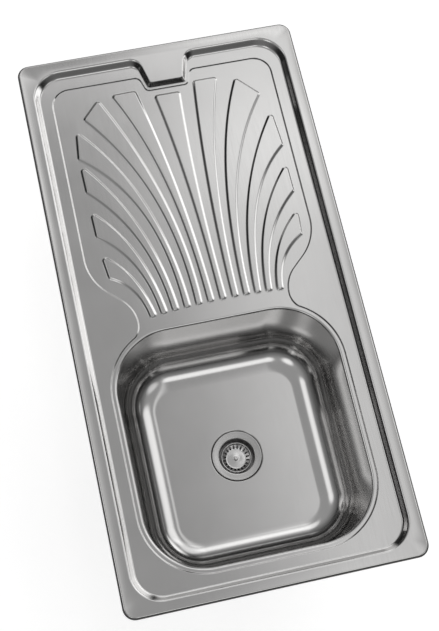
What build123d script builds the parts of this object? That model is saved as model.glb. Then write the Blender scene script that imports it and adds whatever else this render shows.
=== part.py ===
"""Inset kitchen sink with one bowl, a ribbed drainboard and a basket-strainer waste.

Units are millimetres. +Z is up, +Y runs towards the drainboard end, and z = 0 is the worktop that
the rim rests on, with the origin in the middle of the rim.
"""
import os
from math import cos, radians, sin

from build123d import *

os.makedirs("parts", exist_ok=True)

# ---------------------------------------------------------------- driving dimensions of the sheet
SHEET = 0.8
SINK_WIDTH = 435.0
SINK_LENGTH = 860.0
RIM_HEIGHT = 5.0
RIM_CORNER_R = 18.0
RIM_ROLL_R = 4.0
STEP_DEPTH = 9.0
RECESS_DEPTH = 2.0
RECESS_SLOPE = 2.5
RIB_HEIGHT = 2.5
RIB_FLANK = 4.8

# levels of the upper surface
DECK_Z = RIM_HEIGHT - STEP_DEPTH
RECESS_Z = DECK_Z - RECESS_DEPTH
RIB_TOP_Z = RECESS_Z + RIB_HEIGHT

# the sloped step inside the rim: its upper and its lower outline, with the tap ledge standing in it
TAB_X = 7.0
UPPER_STEP = {
    "half_width": 200.5, "far": 413.0, "near": -414.5, "corner": 46.0,
    "tab_tip": 367.0, "tab_tip_half": 24.5, "tab_root_half": 35.0, "tip_r": 3.0, "root_r": 22.0,
}
LOWER_STEP = {
    "half_width": 190.0, "far": 400.0, "near": -405.0, "corner": 37.0,
    "tab_tip": 360.0, "tab_tip_half": 30.5, "tab_root_half": 41.5, "tip_r": 6.0, "root_r": 13.0,
}

# the drainboard recess, which opens into the narrow ledge round the bowl
RECESS_HALF_WIDTH = 174.5
RECESS_FAR = 383.5
RECESS_CORNER_R = 29.0
RECESS_TAB_TIP = 358.5
RECESS_TAB_TIP_HALF = 32.0
RECESS_TAB_ROOT_HALF = 39.5
RECESS_TAB_ROOT_R = 12.0
RECESS_TAB_TIP_R = 7.0
NECK_START_Y = 100.0
NECK_SHOULDER_R = 80.0
NECK_TURN = 47.0
NECK_RUN = 24.0
NECK_HOLLOW_R = 51.0
NECK_TIP_R = 30.0
NECK_TIP_TURN = 60.0
NECK_BLEND_R = 8.0
NECK_MEETING_Y = -35.0

# the bowl
BOWL_Y = -206.0
BOWL_WIDTH = 330.0
BOWL_LENGTH = 351.0
BOWL_CORNER_R = 88.0
BOWL_EDGE_R = 4.0
BOWL_FLANGE = 5.5
BOWL_DRAFT = 5.5
BOWL_FLOOR_R = 48.0
BOWL_FLOOR_Z = -150.0
LEDGE_WIDTH = 9.5
DISH_R = 40.0
DISH_DEPTH = 2.0
WASTE_HOLE_R = 30.0

# the ribs: a fan that rises from narrow round feet at the bowl to squared caps at the far end.
# Each rib, from the leftmost one to the rightmost one, is given by its left cap corner, the bend of its
# left flank, the middle of its foot, the bend of its right flank and its right cap corner.
RIB_END_Y = 3.2
RIB_END_SAG = 0.145
RIB_END_MIDDLE = 7
RIB_END_HALF = 4.4
RIB_CAP_R = 4.0
RIBS = [
    ((-142.5, 64.0), (-104.0, 46.0), -91.0, (-103.0, 72.5), (-147.0, 101.0)),
    ((-148.5, 132.5), (-88.5, 88.0), -74.0, (-86.0, 114.5), (-149.5, 174.0)),
    ((-149.5, 206.0), (-70.5, 128.0), -56.5, (-65.0, 147.0), (-150.5, 253.0)),
    ((-151.0, 262.5), (-47.0, 179.0), -38.5, (-45.0, 194.0), (-146.0, 309.0)),
    ((-130.5, 327.0), (-25.0, 194.0), -20.5, (-16.5, 174.5), (-103.5, 355.5)),
    ((-81.0, 359.5), (-12.0, 216.0), -2.5, (-6.5, 190.5), (-43.5, 360.0)),
    ((-15.0, 346.5), (9.5, 194.0), 16.0, (12.5, 185.0), (24.0, 346.5)),
    ((49.5, 360.5), (28.5, 179.5), 34.5, (36.5, 205.0), (86.0, 360.5)),
    ((114.5, 353.5), (50.0, 225.0), 52.0, (55.5, 200.0), (146.5, 320.0)),
    ((157.0, 287.0), (69.0, 162.5), 69.0, (84.0, 165.5), (161.5, 227.0)),
    ((159.5, 195.0), (89.0, 117.5), 86.0, (96.5, 94.0), (160.0, 148.5)),
    ((158.0, 116.5), (106.0, 73.0), 103.0, (112.0, 53.5), (155.5, 77.0)),
]

# ---------------------------------------------------------------- driving dimensions of the waste
FLANGE_R = 38.0
FLANGE_TOP_Z = BOWL_FLOOR_Z
FLANGE_UNDER_Z = FLANGE_TOP_Z - 1.2
CUP_R = 27.5
CUP_WALL = 1.0
CUP_FLOOR_Z = FLANGE_TOP_Z - 26.0
CUP_OPENING_OUTER_R = 14.0
CUP_OPENING_INNER_R = 9.0
CUP_ARM_WIDTH = 4.0
GASKET_INNER_R = 31.5
GASKET_OUTER_R = 37.0
LOWER_GASKET = 3.0
BODY_FLANGE_R = 37.5
BODY_R = 33.5
BODY_BORE_R = 29.6
TAIL_R = 23.9
TAIL_BORE_R = 19.5
BODY_TOP_Z = BOWL_FLOOR_Z - DISH_DEPTH - SHEET - LOWER_GASKET
HUB_TOP_Z = -190.0
BODY_CONE_Z = -204.0
TAIL_END_Z = -232.0
HUB_R = 11.0
HUB_WEB = 2.0
SCREW_R = 6.0
SCREW_HEAD_R = 8.0
SCREW_HEAD = 2.0
SCREW_BORE_R = 4.6
INSERT_R = 8.5
INSERT_LENGTH = 12.0
BASKET_RIM_R = 23.6
BASKET_RIM_Z = FLANGE_TOP_Z - 11.6
BASKET_FLOOR_Z = FLANGE_TOP_Z - 21.8
SLOT_COUNT = 20
SLOT_CIRCLE_R = 18.1
SLOT_LENGTH = 5.4
SLOT_WIDTH = 2.8
STEM_R = 2.8
SEAL_R = 17.5
SEAL_DISC = 1.2
REST_GAP = 0.3
RUNNING_GAP = 0.05

# ---------------------------------------------------------------- driving dimensions under the rim
SEAL_STRIP_OUTER = 4.5
SEAL_STRIP_WIDTH = 8.0
PAD_LENGTH = 190.0
PAD_WIDTH = 56.0
PAD_THICKNESS = 2.5
PAD_OFFSET = 76.0
PAD_CORNER_R = 10.0
TAG_Y = 320.0
TAG_X = 182.0
TAG_WIDTH = 12.0
TAG_DROP = 16.0
TAG_THICKNESS = 1.0
TAG_HOLE_R = 2.6

# ---------------------------------------------------------------- driving dimensions of the clips
CLIP_SIDE_X = 182.0
CLIP_SIDE_Y = (200.0, -206.0)
CLIP_END_X = 110.0
CLIP_FAR_Y = 391.5
CLIP_NEAR_Y = -398.0
BRACKET_STEEL = 1.5
BRACKET_HALF_WIDTH = 5.5
BRACKET_HEIGHT = 23.5
BRACKET_LENGTH = 24.0
NUT_HALF = 4.0
NUT_HEIGHT = 4.0
CLIP_SCREW_R = 2.5
CLIP_SCREW_TIP = 17.0
CLIP_SCREW_HEAD_R = 4.5
CLIP_SCREW_HEAD = 3.2
CLIP_HEAD_SEAT = 47.3
CLIP_SLOT_WIDTH = 1.2
CLIP_SLOT_DEPTH = 1.6
CLAW_STEEL = 2.0
CLAW_WIDTH = 16.0
CLAW_REACH = 34.0
CLAW_HEEL = 9.0
CLAW_TOOTH_HEIGHT = 8.0
CLAW_HEEL_HEIGHT = 4.0
CLAW_NOTCH_R = 1.6

DRAIN_AXIS = Axis((0, BOWL_Y, 0), (0, 0, 1))


# ---------------------------------------------------------------- outlines of the pressed sheet
def step_outline(step, z):
    """Outline of the step inside the rim, notched where the tap ledge stands."""
    half = step["half_width"]
    far = step["far"]
    near = step["near"]
    root = step["tab_root_half"]
    tip = step["tab_tip_half"]
    tip_y = step["tab_tip"]
    corners = [
        (-half, near), (half, near), (half, far),
        (TAB_X + root, far), (TAB_X + tip, tip_y), (TAB_X - tip, tip_y), (TAB_X - root, far),
        (-half, far),
    ]
    corner_r = step["corner"]
    tab_radii = [step["root_r"], step["tip_r"], step["tip_r"], step["root_r"]]
    radii = [corner_r] * 3 + tab_radii + [corner_r]
    with BuildSketch(Plane.XY.offset(z)) as outline:
        with BuildLine():
            FilletPolyline(*corners, radius=radii, close=True)
        make_face()
    return outline.sketch


def shoulder_face():
    """The tongue of deck that narrows the drainboard towards the bowl, on the right side."""
    beyond = RECESS_HALF_WIDTH + RECESS_CORNER_R
    with BuildSketch() as tongue:
        with BuildLine():
            shoulder = JernArc((RECESS_HALF_WIDTH, NECK_START_Y), (0, -1), NECK_SHOULDER_R, -NECK_TURN)
            run = PolarLine(shoulder @ 1, NECK_RUN, direction=shoulder % 1)
            hollow = JernArc(run @ 1, run % 1, NECK_HOLLOW_R, NECK_TURN)
            tip = JernArc(hollow @ 1, hollow % 1, NECK_TIP_R, NECK_TIP_TURN)
            tip_x = (tip @ 1).X
            Polyline(tip @ 1, (tip_x, BOWL_Y), (beyond, BOWL_Y), (beyond, NECK_START_Y), shoulder @ 0)
        make_face()
    return tongue.sketch


def recess_outline(z):
    """Outline of the drainboard recess together with the ledge round the bowl."""
    tongue = shoulder_face()
    middle_y = (RECESS_FAR + BOWL_Y) / 2
    with BuildSketch(Plane.XY.offset(z)) as outline:
        with Locations((0, middle_y)):
            Rectangle(2 * RECESS_HALF_WIDTH, RECESS_FAR - BOWL_Y)
        fillet(outline.vertices().group_by(Axis.Y)[-1], radius=RECESS_CORNER_R)
        with BuildLine(mode=Mode.PRIVATE) as notch:
            Polyline(
                (TAB_X - RECESS_TAB_ROOT_HALF, RECESS_FAR),
                (TAB_X - RECESS_TAB_TIP_HALF, RECESS_TAB_TIP),
                (TAB_X + RECESS_TAB_TIP_HALF, RECESS_TAB_TIP),
                (TAB_X + RECESS_TAB_ROOT_HALF, RECESS_FAR),
                close=True,
            )
        make_face(notch.edges(), mode=Mode.SUBTRACT)
        near_tab = outline.vertices().filter_by(lambda v: abs(v.X - TAB_X) < 2 * RECESS_TAB_ROOT_HALF)
        fillet(near_tab.filter_by_position(Axis.Y, RECESS_FAR - 1, RECESS_FAR), RECESS_TAB_ROOT_R)
        near_tab = outline.vertices().filter_by(lambda v: abs(v.X - TAB_X) < 2 * RECESS_TAB_ROOT_HALF)
        fillet(near_tab.filter_by_position(Axis.Y, RECESS_TAB_TIP, RECESS_TAB_TIP + 1), RECESS_TAB_TIP_R)
        add(tongue, mode=Mode.SUBTRACT)
        add(mirror(tongue, about=Plane.YZ, mode=Mode.PRIVATE), mode=Mode.SUBTRACT)
        with Locations((0, BOWL_Y)):
            RectangleRounded(
                2 * RECESS_HALF_WIDTH, BOWL_LENGTH + 2 * LEDGE_WIDTH, BOWL_CORNER_R + LEDGE_WIDTH
            )
        meetings = outline.vertices().filter_by(lambda v: abs(v.Y - NECK_MEETING_Y) < NECK_BLEND_R)
        fillet(meetings, radius=NECK_BLEND_R)
    return outline.sketch


def grown(point, first_normal, second_normal, grow):
    """A corner moved outwards so that both sides that meet in it move out by grow."""
    shift = (first_normal + second_normal) / (1 + first_normal.dot(second_normal))
    return point + shift * grow


def flank_curve(foot, bend, cap_corner, side, grow):
    """One long side of a rib, from its foot round its bend to its cap corner, moved out by grow."""
    foot_normal = Vector(side * (bend - foot).Y, -side * (bend - foot).X).normalized()
    cap_run = cap_corner - bend
    cap_normal = Vector(side * cap_run.Y, -side * cap_run.X).normalized()
    return foot + Vector(side * grow, 0), grown(bend, foot_normal, cap_normal, grow), cap_normal


def rib_outline(index, grow, z):
    """Outline of one rib, grown outwards from the middle of its sloped flanks."""
    left_corner, left_bend_at, foot_x, right_bend_at, right_corner = RIBS[index]
    foot_y = RIB_END_Y - RIB_END_SAG * (index - RIB_END_MIDDLE) ** 2
    left_cap, right_cap = Vector(*left_corner), Vector(*right_corner)
    left_foot = Vector(foot_x - RIB_END_HALF, foot_y)
    right_foot = Vector(foot_x + RIB_END_HALF, foot_y)
    cap_run = right_cap - left_cap
    cap_normal = Vector(-cap_run.Y, cap_run.X).normalized()
    left_start, left_bend, left_normal = flank_curve(
        left_foot, Vector(*left_bend_at), left_cap, -1, grow
    )
    right_start, right_bend, right_normal = flank_curve(
        right_foot, Vector(*right_bend_at), right_cap, 1, grow
    )
    left_end = grown(left_cap, left_normal, cap_normal, grow)
    right_end = grown(right_cap, right_normal, cap_normal, grow)
    end_point = Vector(foot_x, foot_y - RIB_END_HALF - grow)
    with BuildSketch(Plane.XY.offset(z)) as outline:
        with BuildLine():
            Bezier(left_start, left_bend, left_end)
            Line(left_end, right_end)
            Bezier(right_end, right_bend, right_start)
            ThreePointArc(right_start, end_point, left_start)
        make_face()
        caps = outline.vertices().filter_by(lambda v: v.Y > foot_y + RIB_END_HALF)
        fillet(caps, radius=RIB_CAP_R + grow)
    return outline.sketch


def press_form(drop):
    """The block under the sheet's upper surface, or under its lower one when dropped."""
    rim_z = RIM_HEIGHT - drop
    deep = -20.0 - 4 * drop
    rim_bottom = -2 * drop
    pan_margin = 10.0 - drop
    with BuildPart() as form:
        with BuildSketch(Plane.XY.offset(rim_z)):
            RectangleRounded(SINK_WIDTH - 2 * drop, SINK_LENGTH - 2 * drop, RIM_CORNER_R - drop)
        extrude(amount=rim_bottom - rim_z)
        fillet(form.edges().group_by(Axis.Z)[-1], radius=RIM_ROLL_R - drop)
        with BuildSketch(Plane.XY.offset(rim_z - RIM_ROLL_R)):
            RectangleRounded(
                SINK_WIDTH - 2 * pan_margin, SINK_LENGTH - 2 * pan_margin, RIM_CORNER_R - drop
            )
        extrude(amount=deep)
        upper = step_outline(UPPER_STEP, rim_z)
        lower = step_outline(LOWER_STEP, DECK_Z - drop)
        loft([upper, lower], ruled=True, mode=Mode.SUBTRACT)
        slope = degrees_of(RECESS_SLOPE, RECESS_DEPTH)
        extrude(
            recess_outline(DECK_Z - drop), amount=-RECESS_DEPTH, taper=slope, mode=Mode.SUBTRACT
        )
        for index in range(len(RIBS)):
            base = rib_outline(index, RIB_FLANK / 2, RECESS_Z - drop)
            top = rib_outline(index, -RIB_FLANK / 2, RIB_TOP_Z - drop)
            loft([base, top], ruled=True)
    return form.part


def degrees_of(run, rise):
    """Angle from the vertical of a slope with this run and rise."""
    return Vector(rise, run).get_angle(Vector(1, 0))


# ---------------------------------------------------------------- the pressed deck
def bowl_rectangle(grow, z):
    """The bowl's rounded rectangle, grown outwards from the top of its wall."""
    with BuildSketch(Plane.XY.offset(z)) as outline:
        with Locations((0, BOWL_Y)):
            RectangleRounded(BOWL_WIDTH + 2 * grow, BOWL_LENGTH + 2 * grow, BOWL_CORNER_R + grow)
    return outline.sketch


upper_form = press_form(0)
lower_form = press_form(SHEET)

with BuildPart() as sink_deck:
    add(upper_form)
    add(lower_form, mode=Mode.SUBTRACT)
    extrude(bowl_rectangle(BOWL_FLANGE, RECESS_Z - 5 * SHEET), amount=10 * SHEET, mode=Mode.SUBTRACT)
sink_deck.part.label = "sink_deck"
export_step(sink_deck.part, "parts/sink_deck.step")


# ---------------------------------------------------------------- the deep-drawn bowl
def bowl_form(drop):
    """The block under the bowl's inner surface, or under its outer one when dropped."""
    slope = radians(BOWL_DRAFT)
    mouth = drop * (1 - sin(slope)) / cos(slope)
    margin = BOWL_FLANGE + 10 * drop
    with BuildPart() as form:
        extrude(bowl_rectangle(margin, RECESS_Z - drop), amount=BOWL_FLOOR_Z - 20 - margin)
        extrude(
            bowl_rectangle(mouth, RECESS_Z - drop),
            amount=BOWL_FLOOR_Z - RECESS_Z,
            taper=BOWL_DRAFT,
            mode=Mode.SUBTRACT,
        )
        floor = form.faces().filter_by(Axis.Z).filter_by_position(
            Axis.Z, BOWL_FLOOR_Z - 2 * SHEET, BOWL_FLOOR_Z + SHEET
        )
        fillet(floor.edges(), radius=BOWL_FLOOR_R + drop)
        flange = form.faces().sort_by(Axis.Z)[-1]
        fillet(flange.inner_wires().edges(), radius=BOWL_EDGE_R - drop)
        with BuildSketch(Plane((0, BOWL_Y, BOWL_FLOOR_Z - drop))):
            Circle(DISH_R + drop / 2)
        extrude(amount=-DISH_DEPTH, taper=45, mode=Mode.SUBTRACT)
        with BuildSketch(Plane((0, BOWL_Y, BOWL_FLOOR_Z))):
            Circle(WASTE_HOLE_R)
        extrude(amount=-BOWL_LENGTH, mode=Mode.SUBTRACT)
    return form.part


bowl_inside = bowl_form(0)
bowl_outside = bowl_form(SHEET)

with BuildPart() as bowl:
    add(bowl_inside)
    add(bowl_outside, mode=Mode.SUBTRACT)
bowl.part.label = "bowl"
export_step(bowl.part, "parts/bowl.step")


# ---------------------------------------------------------------- the waste below the bowl
DRAIN_PLANE = Plane.XZ.offset(-BOWL_Y)


def turned(*profile):
    """A solid turned about the drain axis from a closed profile of (radius, height) points."""
    with BuildPart() as blank:
        with BuildSketch(DRAIN_PLANE):
            with BuildLine():
                Polyline(*profile, close=True)
            make_face()
        revolve(axis=DRAIN_AXIS)
    return blank.part


def washer(inner_r, outer_r, bottom_z, top_z):
    """A flat ring about the drain axis."""
    return turned((inner_r, bottom_z), (outer_r, bottom_z), (outer_r, top_z), (inner_r, top_z))


DISH_Z = BOWL_FLOOR_Z - DISH_DEPTH
CUP_OUTER_R = CUP_R + CUP_WALL
CUP_UNDER_Z = CUP_FLOOR_Z - CUP_WALL
FLANGE_CREST = 0.9
FLANGE_FALL = 0.4

strainer_flange_blank = turned(
    (SCREW_R + REST_GAP, CUP_UNDER_Z),
    (CUP_OUTER_R, CUP_UNDER_Z),
    (CUP_OUTER_R, FLANGE_UNDER_Z),
    (FLANGE_R, FLANGE_UNDER_Z),
    (FLANGE_R, FLANGE_TOP_Z - FLANGE_CREST),
    (FLANGE_R - FLANGE_CREST, FLANGE_TOP_Z),
    (CUP_R + CUP_WALL, FLANGE_TOP_Z - FLANGE_FALL),
    (CUP_R, FLANGE_TOP_Z - FLANGE_FALL - CUP_WALL),
    (CUP_R, CUP_FLOOR_Z),
    (SCREW_R + REST_GAP, CUP_FLOOR_Z),
)

with BuildPart() as strainer_flange:
    add(strainer_flange_blank)
    with BuildSketch(Plane((0, BOWL_Y, CUP_UNDER_Z))):
        Circle(CUP_OPENING_OUTER_R)
        Circle(CUP_OPENING_INNER_R, mode=Mode.SUBTRACT)
        with PolarLocations(CUP_OPENING_OUTER_R / 2, 3):
            Rectangle(CUP_OPENING_OUTER_R, CUP_ARM_WIDTH, mode=Mode.SUBTRACT)
    extrude(amount=CUP_WALL, mode=Mode.SUBTRACT)
strainer_flange.part.label = "strainer_flange"
export_step(strainer_flange.part, "parts/strainer_flange.step")

flange_gasket_blank = washer(GASKET_INNER_R, GASKET_OUTER_R, DISH_Z, FLANGE_UNDER_Z)

with BuildPart() as flange_gasket:
    add(flange_gasket_blank)
flange_gasket.part.label = "flange_gasket"
export_step(flange_gasket.part, "parts/flange_gasket.step")

lower_gasket_blank = washer(GASKET_INNER_R, GASKET_OUTER_R, BODY_TOP_Z, BODY_TOP_Z + LOWER_GASKET)

with BuildPart() as lower_gasket:
    add(lower_gasket_blank)
lower_gasket.part.label = "lower_gasket"
export_step(lower_gasket.part, "parts/lower_gasket.step")

BODY_FLANGE = 4.2
CONE_TOP_Z = HUB_TOP_Z + 2 * HUB_WEB
WEB_HEIGHT = 6.0
WEB_WIDTH = 3.0
INSERT_TOP_Z = HUB_TOP_Z - HUB_WEB
INSERT_BOTTOM_Z = INSERT_TOP_Z - INSERT_LENGTH

hub_collar = washer(INSERT_R, HUB_R, INSERT_BOTTOM_Z, INSERT_TOP_Z)
waste_body_blank = turned(
    (TAIL_BORE_R, TAIL_END_Z),
    (TAIL_R, TAIL_END_Z),
    (TAIL_R, BODY_CONE_Z),
    (BODY_R, HUB_TOP_Z),
    (BODY_R, BODY_TOP_Z - BODY_FLANGE),
    (BODY_FLANGE_R, BODY_TOP_Z - BODY_FLANGE),
    (BODY_FLANGE_R, BODY_TOP_Z),
    (BODY_BORE_R, BODY_TOP_Z),
    (BODY_BORE_R, CONE_TOP_Z),
    (TAIL_BORE_R, BODY_CONE_Z),
)

with BuildPart() as waste_body:
    add(waste_body_blank)
    with BuildSketch(Plane((0, BOWL_Y, HUB_TOP_Z - WEB_HEIGHT))):
        Circle(HUB_R)
        with PolarLocations(BODY_BORE_R / 2, 3):
            Rectangle(BODY_BORE_R, WEB_WIDTH)
    extrude(amount=WEB_HEIGHT)
    add(hub_collar)
    with BuildSketch(Plane((0, BOWL_Y, INSERT_BOTTOM_Z))):
        Circle(INSERT_R)
    extrude(amount=INSERT_LENGTH, mode=Mode.SUBTRACT)
    with BuildSketch(Plane((0, BOWL_Y, INSERT_TOP_Z))):
        Circle(SCREW_R + REST_GAP)
    extrude(amount=HUB_WEB, mode=Mode.SUBTRACT)
waste_body.part.label = "waste_body"
export_step(waste_body.part, "parts/waste_body.step")

SCREW_BORE_END_Z = HUB_TOP_Z - WEB_HEIGHT
SCREW_END_Z = INSERT_BOTTOM_Z - 2.0
SCREW_CHAMFER = 0.5

centre_screw_blank = turned(
    (SCREW_BORE_R, CUP_FLOOR_Z + SCREW_HEAD),
    (SCREW_HEAD_R - SCREW_CHAMFER, CUP_FLOOR_Z + SCREW_HEAD),
    (SCREW_HEAD_R, CUP_FLOOR_Z + SCREW_HEAD - SCREW_CHAMFER),
    (SCREW_HEAD_R, CUP_FLOOR_Z),
    (SCREW_R, CUP_FLOOR_Z),
    (SCREW_R, SCREW_END_Z),
    (0, SCREW_END_Z),
    (0, SCREW_BORE_END_Z),
    (SCREW_BORE_R, SCREW_BORE_END_Z),
)

with BuildPart() as centre_screw:
    add(centre_screw_blank)
centre_screw.part.label = "centre_screw"
export_step(centre_screw.part, "parts/centre_screw.step")

screw_insert_blank = washer(SCREW_R, INSERT_R, INSERT_BOTTOM_Z, INSERT_TOP_Z)

with BuildPart() as screw_insert:
    add(screw_insert_blank)
screw_insert.part.label = "screw_insert"
export_step(screw_insert.part, "parts/screw_insert.step")


# ---------------------------------------------------------------- the lift-out basket strainer
BASKET_SHEET = 0.7
BASKET_WALL_R = 21.7
BASKET_SLOPE_TOP_R = 21.1
BASKET_SLOPE_TOP_Z = BASKET_FLOOR_Z + 3.6
BASKET_DISC_R = 15.2
BASKET_UNDER_Z = BASKET_FLOOR_Z - BASKET_SHEET

basket_cup_blank = turned(
    (0, BASKET_FLOOR_Z),
    (BASKET_DISC_R, BASKET_FLOOR_Z),
    (BASKET_SLOPE_TOP_R, BASKET_SLOPE_TOP_Z),
    (BASKET_WALL_R, BASKET_RIM_Z - BASKET_SHEET),
    (BASKET_WALL_R + BASKET_SHEET, BASKET_RIM_Z),
    (BASKET_RIM_R - BASKET_SHEET / 2, BASKET_RIM_Z),
    (BASKET_RIM_R, BASKET_RIM_Z - BASKET_SHEET / 2),
    (BASKET_RIM_R, BASKET_RIM_Z - 2 * BASKET_SHEET),
    (BASKET_WALL_R + BASKET_SHEET, BASKET_RIM_Z - 2 * BASKET_SHEET),
    (BASKET_SLOPE_TOP_R + BASKET_SHEET, BASKET_SLOPE_TOP_Z - BASKET_SHEET / 2),
    (BASKET_DISC_R + BASKET_SHEET / 4, BASKET_UNDER_Z),
    (0, BASKET_UNDER_Z),
)

with BuildPart() as basket_cup:
    add(basket_cup_blank)
    with BuildSketch(Plane((0, BOWL_Y, BASKET_UNDER_Z))):
        with PolarLocations(SLOT_CIRCLE_R, SLOT_COUNT):
            SlotOverall(SLOT_LENGTH, SLOT_WIDTH)
    extrude(amount=BASKET_RIM_Z - BASKET_UNDER_Z, mode=Mode.SUBTRACT)
basket_cup.part.label = "basket_cup"
export_step(basket_cup.part, "parts/basket_cup.step")

KNOB_R = 3.2
KNOB_WAIST_R = 2.2
KNOB_HEIGHT = 6.5
KNOB_CHAMFER = 0.7

basket_knob_blank = turned(
    (0, BASKET_FLOOR_Z),
    (KNOB_R, BASKET_FLOOR_Z),
    (KNOB_WAIST_R, BASKET_FLOOR_Z + KNOB_HEIGHT / 3),
    (KNOB_R, BASKET_FLOOR_Z + KNOB_HEIGHT * 2 / 3),
    (KNOB_R, BASKET_FLOOR_Z + KNOB_HEIGHT - KNOB_CHAMFER),
    (KNOB_R - KNOB_CHAMFER, BASKET_FLOOR_Z + KNOB_HEIGHT),
    (0, BASKET_FLOOR_Z + KNOB_HEIGHT),
)

with BuildPart() as basket_knob:
    add(basket_knob_blank)
basket_knob.part.label = "basket_knob"
export_step(basket_knob.part, "parts/basket_knob.step")

SEAL_WEB_Z = BASKET_UNDER_Z - SEAL_DISC
SEAL_LIP_R = 14.6

basket_seal_blank = turned(
    (STEM_R, BASKET_UNDER_Z),
    (BASKET_DISC_R, BASKET_UNDER_Z),
    (SEAL_R, SEAL_WEB_Z),
    (SEAL_R, CUP_FLOOR_Z + REST_GAP),
    (SEAL_LIP_R, CUP_FLOOR_Z + REST_GAP),
    (SEAL_LIP_R - SEAL_DISC, SEAL_WEB_Z),
    (STEM_R, SEAL_WEB_Z),
)

with BuildPart() as basket_seal:
    add(basket_seal_blank)
basket_seal.part.label = "basket_seal"
export_step(basket_seal.part, "parts/basket_seal.step")

STEM_END_Z = HUB_TOP_Z - HUB_WEB
STEM_RING_Z = CUP_FLOOR_Z - 5.0
STEM_RING_HEIGHT = 2.4

basket_stem_blank = turned(
    (0, STEM_END_Z),
    (STEM_R - SCREW_CHAMFER, STEM_END_Z),
    (STEM_R, STEM_END_Z + SCREW_CHAMFER),
    (STEM_R, BASKET_UNDER_Z),
    (0, BASKET_UNDER_Z),
)

with BuildPart() as basket_stem:
    add(basket_stem_blank)
basket_stem.part.label = "basket_stem"
export_step(basket_stem.part, "parts/basket_stem.step")

stem_ring_blank = washer(STEM_R, SCREW_BORE_R - RUNNING_GAP, STEM_RING_Z - STEM_RING_HEIGHT, STEM_RING_Z)

with BuildPart() as stem_ring:
    add(stem_ring_blank)
    fillet(stem_ring.edges().group_by(SortBy.LENGTH)[-1], radius=STEM_RING_HEIGHT / 3)
stem_ring.part.label = "stem_ring"
export_step(stem_ring.part, "parts/stem_ring.step")


# ---------------------------------------------------------------- trim under the sheet
with BuildPart() as rim_seal:
    with BuildSketch(Plane.XY):
        RectangleRounded(
            SINK_WIDTH - 2 * SEAL_STRIP_OUTER,
            SINK_LENGTH - 2 * SEAL_STRIP_OUTER,
            RIM_CORNER_R - SEAL_STRIP_OUTER,
        )
        RectangleRounded(
            SINK_WIDTH - 2 * SEAL_STRIP_OUTER - 2 * SEAL_STRIP_WIDTH,
            SINK_LENGTH - 2 * SEAL_STRIP_OUTER - 2 * SEAL_STRIP_WIDTH,
            RIM_CORNER_R - SEAL_STRIP_OUTER - SEAL_STRIP_WIDTH,
            mode=Mode.SUBTRACT,
        )
    extrude(amount=RIM_HEIGHT - SHEET)
rim_seal.part.label = "rim_seal"
export_step(rim_seal.part, "parts/rim_seal.step")

PAD_TOP_Z = BOWL_FLOOR_Z - SHEET

with BuildPart() as sound_pad_rear:
    with BuildSketch(Plane.XY.offset(PAD_TOP_Z)):
        with Locations((0, BOWL_Y + PAD_OFFSET)):
            RectangleRounded(PAD_LENGTH, PAD_WIDTH, PAD_CORNER_R)
    extrude(amount=-PAD_THICKNESS)
sound_pad_rear.part.label = "sound_pad_rear"
export_step(sound_pad_rear.part, "parts/sound_pad_rear.step")

with BuildPart() as sound_pad_front:
    with BuildSketch(Plane.XY.offset(PAD_TOP_Z)):
        with Locations((0, BOWL_Y - PAD_OFFSET)):
            RectangleRounded(PAD_LENGTH, PAD_WIDTH, PAD_CORNER_R)
    extrude(amount=-PAD_THICKNESS)
sound_pad_front.part.label = "sound_pad_front"
export_step(sound_pad_front.part, "parts/sound_pad_front.step")

DECK_UNDER_Z = DECK_Z - SHEET

with BuildPart() as earth_tag:
    with BuildSketch(Plane((TAG_X, TAG_Y, DECK_UNDER_Z), x_dir=(0, 1, 0), z_dir=(1, 0, 0))):
        with Locations((0, -TAG_DROP / 2)):
            Rectangle(TAG_WIDTH, TAG_DROP)
        with Locations((0, TAG_WIDTH / 2 - TAG_DROP)):
            Circle(TAG_HOLE_R, mode=Mode.SUBTRACT)
    extrude(amount=TAG_THICKNESS)
    fillet(earth_tag.edges().filter_by(Axis.X).group_by(Axis.Z)[0], radius=TAG_WIDTH / 4)
earth_tag.part.label = "earth_tag"
export_step(earth_tag.part, "parts/earth_tag.step")


# ---------------------------------------------------------------- the clamping clips
CLIP_PLACES = [
    (CLIP_SIDE_X, CLIP_SIDE_Y[0], (1, 0, 0)),
    (CLIP_SIDE_X, CLIP_SIDE_Y[1], (1, 0, 0)),
    (CLIP_END_X, CLIP_NEAR_Y, (0, -1, 0)),
    (-CLIP_END_X, CLIP_NEAR_Y, (0, -1, 0)),
    (-CLIP_SIDE_X, CLIP_SIDE_Y[1], (-1, 0, 0)),
    (-CLIP_SIDE_X, CLIP_SIDE_Y[0], (-1, 0, 0)),
    (-CLIP_END_X, CLIP_FAR_Y, (0, 1, 0)),
    (CLIP_END_X, CLIP_FAR_Y, (0, 1, 0)),
]
BRACKET_BEND = 1.4
SHELF_HOLE_R = CLIP_SCREW_R + 0.4
NUT_BORE_R = CLIP_SCREW_R + RUNNING_GAP
NUT_CHAMFER = 0.5
TIP_CHAMFER = 0.6
CLAW_LEVEL = -CLIP_HEAD_SEAT + REST_GAP

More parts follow.
